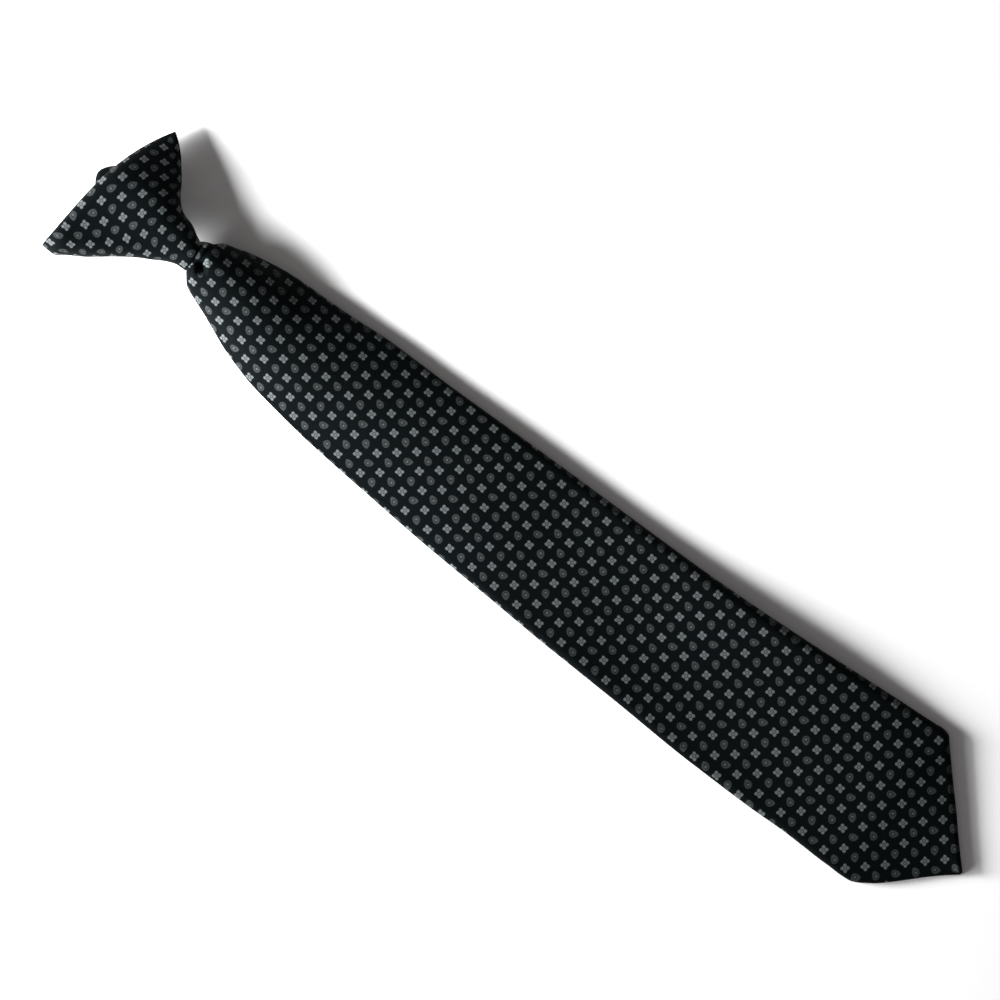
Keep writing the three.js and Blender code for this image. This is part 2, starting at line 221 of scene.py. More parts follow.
def grid_normals(middle: np.ndarray, closed: bool) -> np.ndarray:
    """The unit normals of a grid of points: the way along the rows crossed with the way across them.

    Args:
        middle: the points, of shape (rows, columns, 3).
        closed: whether the last column joins the first.

    Returns:
        The normals, of the same shape.
    """
    along = np.gradient(middle, axis=0)
    if closed:
        across = np.roll(middle, -1, axis=1) - np.roll(middle, 1, axis=1)
    else:
        across = np.gradient(middle, axis=1)
    normals = np.cross(along, across)
    return normals / np.maximum(np.linalg.norm(normals, axis=2, keepdims=True), 1e-12)


def rounded_rim(grid: np.ndarray, thickness: float) -> tuple[np.ndarray, np.ndarray]:
    """A grid with rows added beyond its first and last ones, for a wall whose rims are round.

    An added row goes half a thickness times sin(a) on from the rim, and the wall is cos(a) of its thickness
    there.

    Args:
        grid: points and their threads, of shape (rows, columns, 5).
        thickness: the wall's thickness.

    Returns:
        The longer grid, and the share of the thickness at each of its rows.
    """
    angles = np.linspace(0.0, 0.5 * math.pi, RIM_STEPS + 1)[1:]
    reach = 0.5 * thickness * np.sin(angles)[:, None, None]

    def beyond(rim: np.ndarray, inner: np.ndarray) -> np.ndarray:
        """The added rows: on from the rim in line with the row inside it.

        Args:
            rim: the first or last row.
            inner: the row beside it.

        Returns:
            The rows, from the rim out.
        """
        way = rim - inner
        length = np.linalg.norm(way[:, :3], axis=1, keepdims=True)
        return rim[None] + reach * (way / np.maximum(length, 1e-12))[None]

    first = beyond(grid[0], grid[1])[::-1]
    last = beyond(grid[-1], grid[-2])
    share = np.concatenate([np.cos(angles)[::-1], np.ones(len(grid)), np.cos(angles)])
    return np.concatenate([first, grid, last]), share


def quads(rows: int, columns: int, closed: bool) -> np.ndarray:
    """The faces of a grid of vertices, with normals along the rows crossed with across them.

    Args:
        rows: rows of vertices.
        columns: vertices in each row.
        closed: whether the last column joins the first.

    Returns:
        Vertex numbers, of shape (faces, 4).
    """
    index = np.arange(rows * columns).reshape(rows, columns)
    if closed:
        index = np.hstack([index, index[:, :1]])
    a, b = index[:-1, :-1], index[:-1, 1:]
    c, d = index[1:, 1:], index[1:, :-1]
    return np.stack([a, d, c, b], axis=2).reshape(-1, 4)


class Look(Enum):
    """Which of a cloth piece's two material slots a face has."""

    FACE = 0
    REVERSE = 1


def new_mesh(
    name: str, points: np.ndarray, faces: np.ndarray, threads: np.ndarray | None = None
) -> bpy.types.Object:
    """An object at the origin with a smooth mesh of these points and faces.

    Args:
        name: the object's name.
        points: the vertices, of shape (count, 3).
        faces: vertex numbers, of shape (faces, 4).
        threads: each vertex's place in the cloth's pattern, of shape (count, 2), if it has one.

    Returns:
        The object, in the scene's collection.
    """
    mesh = bpy.data.meshes.new(name)
    mesh.from_pydata(points.tolist(), [], faces.tolist())
    if threads is not None:
        layer = mesh.uv_layers.new(name=THREADS)
        layer.data.foreach_set("uv", threads[faces.ravel()].astype(np.float32).ravel())
    mesh.polygons.foreach_set("use_smooth", np.ones(len(faces), bool))
    piece = bpy.data.objects.new(name, mesh)
    bpy.context.scene.collection.objects.link(piece)
    return piece


def weld(piece: bpy.types.Object) -> None:
    """Merges the doubled vertices of a piece's rims and poles, and drops the faces that they leave empty.

    Args:
        piece: the piece, whose mesh is changed.
    """
    work = bmesh.new()
    work.from_mesh(piece.data)
    bmesh.ops.remove_doubles(work, verts=work.verts, dist=1e-7)
    bmesh.ops.dissolve_degenerate(work, edges=work.edges, dist=1e-8)
    work.to_mesh(piece.data)
    work.free()
    piece.data.update()


def cloth_piece(
    name: str, middle: np.ndarray, threads: np.ndarray, wall: float, closed: bool, outward: int
) -> bpy.types.Object:
    """A piece of cloth with two faces and round rims, from its middle surface.

    Each face is the middle surface plus or minus half the wall along the normals.

    Args:
        name: the object's name.
        middle: the middle surface, of shape (rows, columns, 3).
        threads: the pattern's coordinates there, of shape (rows, columns, 2).
        wall: the cloth's thickness.
        closed: whether the last column joins the first.
        outward: 1 if the grid's normals point out of the piece, and -1 if they point into it.

    Returns:
        The piece, with its outer faces in slot FACE and its inner ones in slot REVERSE.
    """
    grid, along_share = rounded_rim(np.concatenate([middle, threads], axis=2), wall)
    across_share = np.ones(grid.shape[1])
    if not closed:
        turned, across_share = rounded_rim(grid.transpose(1, 0, 2), wall)
        grid = turned.transpose(1, 0, 2)
    points = grid[:, :, :3]
    offset = grid_normals(points, closed) * (0.5 * wall * outward)
    offset *= (along_share[:, None] * across_share[None, :])[:, :, None]
    rows, columns = points.shape[:2]
    outer = quads(rows, columns, closed)[:, ::outward]
    inner = outer[:, ::-1] + rows * columns
    piece = new_mesh(
        name,
        np.concatenate([(points + offset).reshape(-1, 3), (points - offset).reshape(-1, 3)]),
        np.concatenate([outer, inner]),
        np.tile(grid[:, :, 3:].reshape(-1, 2), (2, 1)),
    )
    looks = np.repeat([Look.FACE.value, Look.REVERSE.value], [len(outer), len(inner)])
    piece.data.materials.append(None)
    piece.data.materials.append(None)
    piece.data.polygons.foreach_set("material_index", looks.astype(np.int32))
    weld(piece)
    return piece


def thread_tubes(name: str, paths: np.ndarray, radius: float) -> bpy.types.Object:
    """Sewing threads as one mesh: a round tube along each path, closed at both ends.

    Each path lies in an upright plane. A ring of its tube is a point of the path plus radius (cos a N + sin
    a B), with N the plane's normal and B at right angles to N and to the path.

    Args:
        name: the object's name.
        paths: the middle lines, of shape (threads, points, 3).
        radius: a thread's radius.

    Returns:
        The threads, with lengths in radii and turns as their pattern's coordinates.
    """
    count, points, _ = paths.shape
    rows = np.concatenate([[0], np.arange(points), [points - 1]])
    way = np.gradient(paths, axis=1)
    way /= np.linalg.norm(way, axis=2, keepdims=True)
    side = np.cross(paths[:, -1] - paths[:, 0], (0.0, 0.0, 1.0))[:, None, :]
    side = side / np.linalg.norm(side, axis=2, keepdims=True) + 0.0 * way
    rise = np.cross(side, way)
    angle = np.linspace(0.0, 2.0 * math.pi, THREAD_SIDES, endpoint=False)
    girth = np.full(len(rows), radius)
    girth[[0, -1]] = 0.0
    spread = girth[None, :, None, None]
    rings = side[:, rows, None] * np.cos(angle)[:, None] + rise[:, rows, None] * np.sin(angle)[:, None]
    surface = paths[:, rows, None] + spread * rings
    run = np.stack([run_length(*np.moveaxis(paths, 2, 0))[:, rows]] * THREAD_SIDES, axis=2) / (12.0 * radius)
    turns = np.broadcast_to(angle / (2.0 * math.pi), run.shape)
    faces = quads(len(rows), THREAD_SIDES, closed=True)
    starts = np.arange(count)[:, None, None] * len(rows) * THREAD_SIDES
    piece = new_mesh(
        name,
        surface.reshape(-1, 3),
        (faces[None] + starts).reshape(-1, 4),
        np.stack([run, turns], axis=-1).reshape(-1, 2),
    )
    weld(piece)
    return piece


def settle(piece: bpy.types.Object, slot: str, *nodes: str) -> bpy.types.Object:
    """Lets a finished piece ride on the tie, hides the CAD nodes that it stands for, and logs its slot.

    Args:
        piece: the piece, in place.
        slot: the name of its material slot, which is only logged.
        nodes: the CAD nodes that it replaces.

    Returns:
        The same piece.
    """
    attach(piece, "root")
    if nodes:
        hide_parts(*nodes)
    LOG.info("%s: %d faces, slot %s", piece.name, len(piece.data.polygons), slot)
    return piece


# Shader nodes


class Wiring:
    """Adds nodes to one node tree and wires them by their sockets' names.

    Args:
        tree: the material's or group's node tree.
    """

    def __init__(self, tree: bpy.types.NodeTree) -> None:
        """Keeps the tree that the nodes go into."""
        self.tree = tree

    def feed(self, node: bpy.types.Node, inputs: Inputs) -> None:
        """Wires a socket into each input that is given one, and sets the other inputs' own values.

        Args:
            node: the node that gets them.
            inputs: another node's socket, or a value, by the input's name or number.
        """
        for name, value in inputs.items():
            if isinstance(value, Socket):
                self.tree.links.new(value, node.inputs[name])
            else:
                node.inputs[name].default_value = value

    def node(self, kind: str, inputs: Inputs | None = None, **settings: object) -> bpy.types.Node:
        """Adds one node.

        Args:
            kind: the node's type.
            inputs: what goes into its sockets.
            settings: the node's own settings.

        Returns:
            The node.
        """
        made = self.tree.nodes.new(kind)
        for name, value in settings.items():
            setattr(made, name, value)
        self.feed(made, inputs or {})
        return made

    def group(self, tree: bpy.types.NodeTree, **inputs: object) -> bpy.types.Node:
        """Adds a node group, with what goes into its sockets."""
        return self.node("ShaderNodeGroup", inputs, node_tree=tree)

    def threads(self) -> Socket:
        """The cloth's or thread's own coordinates, from its UV map."""
        return self.node("ShaderNodeUVMap", uv_map=THREADS).outputs[0]

    def math(self, operation: str, *values: Value, clamp: bool = False) -> Socket:
        """A Math node's result."""
        made = self.node("ShaderNodeMath", dict(enumerate(values)), operation=operation, use_clamp=clamp)
        return made.outputs[0]

    def vector(self, operation: str, first: object, second: object) -> Socket:
        """A Vector Math node's result."""
        return self.node("ShaderNodeVectorMath", {0: first, 1: second}, operation=operation).outputs[0]

    def product(self, first: Value, *others: Value) -> Socket:
        """Several values multiplied.

        Args:
            first: the first value.
            others: the other ones.

        Returns:
            The product.
        """
        result = first
        for other in others:
            result = self.math("MULTIPLY", result, other)
        return result

    def blend(self, amount: Value, low: Value, high: Value) -> Socket:
        """The low value where the amount is 0, the high one where it is 1."""
        made = self.node("ShaderNodeMix", {0: amount, 2: low, 3: high}, data_type="FLOAT")
        return made.outputs[0]

    def tint(self, amount: Value, low: object, high: object, blend: str = "MIX") -> Socket:
        """The low colour where the amount is 0, and where it is 1 the high one, or the two multiplied."""
        made = self.node("ShaderNodeMix", {0: amount, 6: low, 7: high}, data_type="RGBA", blend_type=blend)
        return made.outputs[2]

    def fade(self, value: Value, full: float, none: float) -> Socket:
        """A smooth step down from 1 to 0.

        Args:
            value: what it goes by.
            full: the value at and beyond which it is 1.
            none: the value at and beyond which it is 0.

        Returns:
            The step.
        """
        ends = {"Value": value, "From Min": full, "From Max": none, "To Min": 1.0, "To Max": 0.0}
        return self.node("ShaderNodeMapRange", ends, interpolation_type="SMOOTHSTEP").outputs[0]

    def distance(self, x: Value, y: Value) -> Socket:
        """The length of the vector x, y."""
        return self.math("SQRT", self.math("ADD", self.product(x, x), self.product(y, y)))

    def bump(self, strength: float, distance: float, height: Socket) -> Socket:
        """The normal that a relief gives, where a height of 1 stands for the distance."""
        relief = {"Strength": strength, "Distance": distance, "Height": height}
        return self.node("ShaderNodeBump", relief).outputs[0]


def new_group(
    name: str, inputs: dict[str, str], results: tuple[str, ...]
) -> tuple[Wiring, bpy.types.Node, bpy.types.Node]:
    """A shader node group with named sockets.

    Args:
        name: the group's name.
        inputs: socket types by name.
        results: the names of its outputs, all numbers.

    Returns:
        The wiring of the group's tree, its input node and its output node.
    """
    group = bpy.data.node_groups.new(name, "ShaderNodeTree")
    for socket, kind in inputs.items():
        group.interface.new_socket(socket, in_out="INPUT", socket_type=kind)
    for socket in results:
        group.interface.new_socket(socket, in_out="OUTPUT", socket_type=NUMBER)
    wiring = Wiring(group)
    return wiring, wiring.node("NodeGroupInput"), wiring.node("NodeGroupOutput")


@dataclass(frozen=True)
class FlowerMotif:
    """The four-petalled motif at the middle of each repeat. Lengths are shares of the repeat."""

    petal_out: float = 0.12
    petal_length: float = 0.108
    petal_width: float = 0.088
    edge: float = 0.2
    ring: float = 0.074
    ring_width: float = 0.034
    ring_depth: float = 0.85
    heart: float = 0.034
    heart_edge: float = 0.4
    heart_tone: float = 0.85


@dataclass(frozen=True)
class TeardropMotif:
    """The small paisley at the corners of each repeat. Lengths are shares of the repeat, angles in radians.

    upright, sideways and hanging are the three ways in which its tail points, turned from straight up to
    the left.
    """

    half_width: float = 0.178
    fullness: float = 2.3
    full_from: float = 0.05
    bare_from: float = 0.02
    length: float = 0.49
    below: float = 0.235
    blunt: float = 0.72
    curl: float = 0.5
    edge: float = 0.26
    hollow_width: float = 0.12
    hollow_length: float = 0.16
    hollow_from: float = 0.6
    hollow_to: float = 1.2
    hollow_depth: float = 0.55
    seed: float = 0.055
    seed_below: float = 0.045
    upright: float = 0.2
    sideways: float = -1.85
    hanging: float = 2.95


def flower_mask(wiring: Wiring, u: Socket, v: Socket, motif: FlowerMotif) -> Socket:
    """How much of the flower's yarn shows.

    With m the larger and n the smaller distance from the middle along the threads, a petal is where
    ((m - out) / length)^2 + (n / width)^2 is under 1. A dark ring parts the petals from the heart.

    Args:
        wiring: the group's wiring.
        u: the pattern's first coordinate.
        v: the second one.
        motif: the motif's sizes.

    Returns:
        The mask, from 0 to 1.
    """
    away = [wiring.math("ABSOLUTE", wiring.math("SUBTRACT", wiring.math("FRACT", w), 0.5)) for w in (u, v)]
    large, small = wiring.math("MAXIMUM", *away), wiring.math("MINIMUM", *away)
    outward = wiring.math("DIVIDE", wiring.math("SUBTRACT", large, motif.petal_out), motif.petal_length)
    petal = wiring.distance(outward, wiring.math("DIVIDE", small, motif.petal_width))
    petals = wiring.fade(petal, 1.0 - motif.edge, 1.0 + motif.edge)
    middle = wiring.distance(*away)
    off_ring = wiring.math("ABSOLUTE", wiring.math("SUBTRACT", middle, motif.ring))
    ring = wiring.fade(off_ring, 0.0, motif.ring_width)
    petals = wiring.product(petals, wiring.math("SUBTRACT", 1.0, wiring.product(ring, motif.ring_depth)))
    soft = motif.heart_edge * motif.heart
    heart = wiring.fade(middle, motif.heart - soft, motif.heart + soft)
    return wiring.math("MAXIMUM", petals, wiring.product(heart, motif.heart_tone))


def teardrop_masks(wiring: Wiring, u: Socket, v: Socket, motif: TeardropMotif) -> tuple[Socket, Socket]:
    """How much of the teardrop's yarn shows, and of the bright seed in it.

    The tail of the motif at whole numbers of u and v points one of three ways: up where u is even, and
    otherwise sideways where v is even and down where it is odd. With s the share of the way from the round
    end to the tail, the outline's half width is fullness half_width sqrt(s) (1 - s)^blunt, and the middle
    line is curled by a parabola.

    Args:
        wiring: the group's wiring.
        u: the pattern's first coordinate.
        v: the second one.
        motif: the motif's sizes.

    Returns:
        The teardrop's mask and the seed's, from 0 to 1.
    """
    whole = [wiring.math("ROUND", w) for w in (u, v)]
    x, y = (wiring.math("SUBTRACT", w, rounded) for w, rounded in zip((u, v), whole))
    odd = [wiring.math("PINGPONG", rounded, 1.0) for rounded in whole]
    angle = wiring.blend(odd[0], motif.upright, wiring.blend(odd[1], motif.sideways, motif.hanging))
    cosine, sine = wiring.math("COSINE", angle), wiring.math("SINE", angle)
    side = wiring.math("ADD", wiring.product(x, cosine), wiring.product(y, sine))
    tail = wiring.math("SUBTRACT", wiring.product(y, cosine), wiring.product(x, sine))
    side = wiring.math("ADD", side, wiring.product(tail, tail, motif.curl))
    share = wiring.math("DIVIDE", wiring.math("ADD", tail, motif.below), motif.length, clamp=True)
    tip = wiring.math("POWER", wiring.math("SUBTRACT", 1.0, share), motif.blunt)
    width = wiring.product(wiring.math("SQRT", share), tip, motif.fullness * motif.half_width)
    off = wiring.math("DIVIDE", wiring.math("ABSOLUTE", side), wiring.math("MAXIMUM", width, 0.001))
    outline = wiring.fade(off, 1.0 - motif.edge, 1.0 + motif.edge)
    body = wiring.product(outline, wiring.fade(width, motif.full_from, motif.bare_from))
    from_seed = wiring.math("ADD", tail, motif.seed_below)
    hollow = wiring.distance(
        wiring.math("DIVIDE", side, motif.hollow_width), wiring.math("DIVIDE", from_seed, motif.hollow_length)
    )
    dim = wiring.product(wiring.fade(hollow, motif.hollow_from, motif.hollow_to), motif.hollow_depth)
    body = wiring.product(body, wiring.math("SUBTRACT", 1.0, dim))
    seed = wiring.fade(wiring.distance(side, from_seed), 0.5 * motif.seed, 1.4 * motif.seed)
    return body, seed


def motif_group() -> bpy.types.NodeTree:
    """The pattern: flowers at the middles of the repeats and teardrops at their corners, as three masks.

    The motifs are woven, so their outlines step from yarn to yarn: the coordinates are cut to whole yarns
    first.

    Returns:
        The group.
    """
    inputs = {"Threads": VECTOR, "Yarns": NUMBER}
    wiring, source, result = new_group("woven motifs", inputs, ("Flower", "Teardrop", "Seed"))
    yarn = wiring.math("DIVIDE", 1.0, source.outputs["Yarns"])
    step = wiring.node("ShaderNodeCombineXYZ", {0: yarn, 1: yarn, 2: 1.0}).outputs[0]
    whole = wiring.vector("SNAP", source.outputs["Threads"], step)
    half = wiring.vector("MULTIPLY", step, (0.5, 0.5, 0.0))
    parts = wiring.node("ShaderNodeSeparateXYZ", {0: wiring.vector("ADD", whole, half)})
    u, v = parts.outputs[0], parts.outputs[1]
    flower = flower_mask(wiring, u, v, FlowerMotif())
    teardrop, seed = teardrop_masks(wiring, u, v, TeardropMotif())
    wiring.feed(result, {"Flower": flower, "Teardrop": teardrop, "Seed": seed})
    return wiring.tree


def twill_group() -> bpy.types.NodeTree:
    """The fine twill of the cloth: slanted ribs, broken by the threads that cross them, and uneven yarn.

    Returns:
        The group.
    """
    inputs = {"Threads": VECTOR, "Ribs": NUMBER}
    wiring, source, result = new_group("fine twill", inputs, ("Height", "Yarn"))
    counts = {0: source.outputs["Threads"], "Scale": source.outputs["Ribs"]}
    scaled = wiring.node("ShaderNodeVectorMath", counts, operation="SCALE").outputs[0]
    parts = wiring.node("ShaderNodeSeparateXYZ", {0: scaled})
    slanted = wiring.math("ADD", parts.outputs[0], parts.outputs[1])
    rib = wiring.math("PINGPONG", slanted, 1.0)
    cross = wiring.math("PINGPONG", wiring.math("SUBTRACT", parts.outputs[0], parts.outputs[1]), 0.5)
    height = wiring.math("ADD", wiring.product(rib, 0.75), wiring.product(cross, 0.5))
    slub = wiring.node("ShaderNodeTexNoise", {"Vector": scaled, "Scale": 0.35, "Detail": 2.0})
    wiring.feed(result, {"Height": height, "Yarn": slub.outputs[0]})
    return wiring.tree


def unevenness_group() -> bpy.types.NodeTree:
    """Slow unevenness over an object, such as handling leaves: a noise in the object's own coordinates.

    Returns:
        The group.
    """
    inputs = {"Scale": NUMBER, "Low": NUMBER, "High": NUMBER}
    wiring, source, result = new_group("slow unevenness", inputs, ("Value",))
    given = source.outputs
    place = wiring.node("ShaderNodeTexCoord").outputs["Object"]
    grain = {"Vector": place, "Scale": given["Scale"], "Detail": 3.0, "Roughness": 0.55}
    noise = wiring.node("ShaderNodeTexNoise", grain).outputs[0]
    ends = {"Value": noise, "From Min": 0.3, "From Max": 0.7, "To Min": given["Low"], "To Max": given["High"]}
    wiring.feed(result, {"Value": wiring.node("ShaderNodeMapRange", ends).outputs[0]})
    return wiring.tree


@dataclass
class Groups:
    """The node groups that the finishes share, each built once."""

    motifs: bpy.types.NodeTree = field(default_factory=motif_group)
    twill: bpy.types.NodeTree = field(default_factory=twill_group)
    unevenness: bpy.types.NodeTree = field(default_factory=unevenness_group)


def new_material(name: str) -> tuple[bpy.types.Material, Wiring, bpy.types.Node]:
    """A material with its wiring and its Principled shader.

    Args:
        name: the material's name.

    Returns:
        The material, the wiring of its tree and the shader node.
    """
    material = bpy.data.materials.new(name)
    material.use_nodes = True
    tree = material.node_tree
    return material, Wiring(tree), tree.nodes["Principled BSDF"]


@dataclass(frozen=True)
class WovenCloth:
    """The face of the tie's cloth: near-black ground with small woven motifs in grey yarn."""

    groups: Groups
    ground: Colour = (0.0007, 0.0017, 0.0021, 1.0)
    flower: Colour = (0.08, 0.09, 0.092, 1.0)
    teardrop: Colour = (0.028, 0.032, 0.033, 1.0)
    seed: Colour = (0.06, 0.067, 0.069, 1.0)
    ribs: float = 26.0
    yarns: float = 44.0
    rib_share: float = 0.3
    slub_share: float = 0.5
    level: float = 0.6
    ground_roughness: float = 0.74
    motif_roughness: float = 0.6
    motif_relief: float = 0.8
    sheen: float = 0.012

    def material(self) -> bpy.types.Material:
        """Builds the material: motifs by their masks over the ground, all broken up by the twill.

        Returns:
            The material.
        """
        material, wiring, shader = new_material("woven_cloth")
        threads = wiring.threads()
        motifs = wiring.group(self.groups.motifs, Threads=threads, Yarns=self.yarns).outputs
        twill = wiring.group(self.groups.twill, Threads=threads, Ribs=self.ribs).outputs
        slow = wiring.group(self.groups.unevenness, Scale=22.0, Low=0.86, High=1.14).outputs[0]
        colour = wiring.tint(motifs["Teardrop"], self.ground, self.teardrop)
        colour = wiring.tint(motifs["Seed"], colour, self.seed)
        colour = wiring.tint(motifs["Flower"], colour, self.flower)
        ribs = wiring.product(twill["Height"], self.rib_share)
        yarn = wiring.math("ADD", ribs, wiring.product(twill["Yarn"], self.slub_share))
        level = wiring.product(wiring.math("ADD", yarn, self.level), slow)
        shade = wiring.node("ShaderNodeCombineColor", {0: level, 1: level, 2: level}).outputs[0]
        motif = wiring.math("MAXIMUM", motifs["Flower"], motifs["Teardrop"])
        relief = wiring.math("ADD", twill["Height"], wiring.product(motif, self.motif_relief))
        looks = {
            "Base Color": wiring.tint(1.0, colour, shade, "MULTIPLY"),
            "Roughness": wiring.blend(motif, self.ground_roughness, self.motif_roughness),
            "Normal": wiring.bump(0.35, 0.00012, relief),
            "Specular IOR Level": 0.03,
            "Sheen Weight": self.sheen,
            "Sheen Roughness": 0.45,
        }
        wiring.feed(shader, looks)
        return material


@dataclass(frozen=True)
class ClothReverse:
    """The inner side of the same cloth, where the motifs' yarns only show faintly."""

    groups: Groups
    ground: Colour = (0.006, 0.0075, 0.0078, 1.0)
    floats: Colour = (0.02, 0.022, 0.023, 1.0)
    ribs: float = 26.0
    yarns: float = 44.0

    def material(self) -> bpy.types.Material:
        """Builds the material: a dark twill with faint marks behind the motifs.

        Returns:
            The material.
        """
        material, wiring, shader = new_material("cloth_reverse")
        threads = wiring.threads()
        motifs = wiring.group(self.groups.motifs, Threads=threads, Yarns=self.yarns).outputs
        twill = wiring.group(self.groups.twill, Threads=threads, Ribs=self.ribs).outputs
        marks = wiring.math("MAXIMUM", motifs["Flower"], motifs["Teardrop"])
        looks = {
            "Base Color": wiring.tint(marks, self.ground, self.floats),
            "Normal": wiring.bump(0.5, 0.00015, twill["Height"]),
            "Roughness": 0.85,
            "Specular IOR Level": 0.15,
        }
        wiring.feed(shader, looks)
        return material


@dataclass(frozen=True)
class SatinMetal:
    """The clip's plated strip: brushed across its length, with faint wear."""

    groups: Groups
    colour: Colour = (0.62, 0.63, 0.64, 1.0)
    rubbed: Colour = (0.5, 0.5, 0.49, 1.0)
    brushed: tuple[float, float, float] = (4200.0, 160.0, 4200.0)
    roughness: float = 0.24
    brushed_gloss: float = 0.16
    rubbed_gloss: float = 0.08

    def material(self) -> bpy.types.Material:
        """Builds the material: noise drawn out along Y for the brushing, and a slow change of gloss.

        Returns:
            The material.
        """
        material, wiring, shader = new_material("satin_metal")
        place = wiring.node("ShaderNodeTexCoord").outputs["Object"]
        drawn = wiring.node("ShaderNodeMapping", {"Vector": place, "Scale": self.brushed}).outputs[0]
        grain = {"Vector": drawn, "Scale": 1.0, "Detail": 3.0}
        brushing = wiring.node("ShaderNodeTexNoise", grain).outputs[0]
        slow = wiring.group(self.groups.unevenness, Scale=160.0, Low=0.0, High=1.0).outputs[0]
        lines = wiring.product(brushing, self.brushed_gloss)
        gloss = wiring.math("ADD", lines, wiring.product(slow, self.rubbed_gloss))
        looks = {
            "Base Color": wiring.tint(slow, self.colour, self.rubbed),
            "Roughness": wiring.math("ADD", gloss, self.roughness),
            "Normal": wiring.bump(0.12, 0.00005, brushing),
            "Metallic": 1.0,
        }
        wiring.feed(shader, looks)
        return material


@dataclass(frozen=True)
class SewingThread:
    """The black thread of the stitches, with the twist of its plies."""

    dark: Colour = (0.008, 0.009, 0.01, 1.0)
    light: Colour = (0.03, 0.032, 0.034, 1.0)

    def material(self) -> bpy.types.Material:
        """Builds the material: slanted bands over the thread's own length and girth.

        Returns:
            The material.
        """
        material, wiring, shader = new_material("sewing_thread")
        parts = wiring.node("ShaderNodeSeparateXYZ", {0: wiring.threads()})
        twist = wiring.math("PINGPONG", wiring.math("ADD", parts.outputs[0], parts.outputs[1]), 0.5)
        looks = {
            "Base Color": wiring.tint(wiring.product(twist, 2.0), self.dark, self.light),
            "Normal": wiring.bump(0.6, 0.00008, twist),
            "Roughness": 0.6,
        }
        wiring.feed(shader, looks)
        return material


@dataclass(frozen=True)
class PaleFloor:
    """The plain pale surface under the tie."""

    groups: Groups
    colour: Colour = (0.93, 0.93, 0.93, 1.0)
    shaded: Colour = (0.9, 0.9, 0.905, 1.0)

    def material(self) -> bpy.types.Material:
        """Builds the material: matt, with the slightest unevenness of tone.

        Returns:
            The material.
        """
        material, wiring, shader = new_material("pale_floor")
        slow = wiring.group(self.groups.unevenness, Scale=3.0, Low=0.0, High=1.0).outputs[0]
        looks = {
            "Base Color": wiring.tint(slow, self.colour, self.shaded),
            "Roughness": 0.9,
            "Specular IOR Level": 0.1,
        }
        wiring.feed(shader, looks)
        return material


@dataclass(frozen=True)
class Finishes:
    """Every material of the scene."""

    cloth: bpy.types.Material
    reverse: bpy.types.Material
    metal: bpy.types.Material
    thread: bpy.types.Material
    floor: bpy.types.Material

    @classmethod
    def mixed(cls) -> "Finishes":
        """Builds the shared groups, and each finish from them.

        Returns:
            The finishes.
        """
        groups = Groups()
        return cls(
            cloth=WovenCloth(groups).material(),
            reverse=ClothReverse(groups).material(),
            metal=SatinMetal(groups).material(),
            thread=SewingThread().material(),
            floor=PaleFloor(groups).material(),
        )

    def dress_cloth(self, piece: bpy.types.Object) -> None:
        """Gives a cloth piece its face and its reverse."""
        piece.data.materials[Look.FACE.value] = self.cloth
        piece.data.materials[Look.REVERSE.value] = self.reverse


# The tie


@dataclass(frozen=True)
class Place:
    """The tie's own frame: x = 0 from the middle of the knot's foot to the tip, and y = 0 at the foot."""

    centre: float
    foot: float

    @classmethod
    def of_frame(cls, blade_length: float) -> "Place":
        """Reads it from the frame: the clip's middle is at x = 0, and the tip a blade's length from the foot.

        Args:
            blade_length: from the knot's foot to the tip.

        Returns:
            The place.
        """
        clip_low, clip_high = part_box("clip")
        return cls(centre=0.5 * (clip_low.x + clip_high.x), foot=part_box("blade")[0].y + blade_length)

    def world(self, x: np.ndarray, y: np.ndarray, z: np.ndarray) -> np.ndarray:
        """Points of the tie's own frame, as one array in the scene's frame."""
        x, y, z = np.broadcast_arrays(x, y, z)
        return np.stack([x + self.centre, y + self.foot, z], axis=-1)


KNOT_SECTIONS = SectionTable(
    (
        "left_x", "left_y", "right_x", "right_y", "bow",
        "left_round", "right_round", "left_crown", "right_crown",
    ),
    (
        (-0.1, 0.012, 0.085, 0.058, -0.038, 0.95, 0.95, 10, 14),
        (-0.103, 0.08, 0.104, 0.118, -0.02, 1, 1, 14, 22),
        (-0.13, 0.175, 0.132, 0.188, 0, 1, 1, 14, 27),
        (-0.173, 0.27, 0.154, 0.3, 0.01, 1, 1, 12, 29),
        (-0.225, 0.388, 0.208, 0.395, 0.024, 1.02, 1, 7, 28),
        (-0.304, 0.53, 0.29, 0.475, 0.04, 1.06, 1, 2, 25),
        (-0.357, 0.617, 0.352, 0.545, 0.052, 1.1, 1, -2, 22),
        (-0.408, 0.704, 0.4, 0.602, 0.062, 1.15, 1, -5, 20),
        (-0.461, 0.815, 0.44, 0.66, 0.074, 1.2, 1, -7, 18),
        (-0.505, 0.905, 0.47, 0.71, 0.084, 1.24, 0.96, -8, 16),
        (-0.504, 1, 0.492, 0.75, 0.09, 1.26, 0.9, -8, 14),
    ),
)


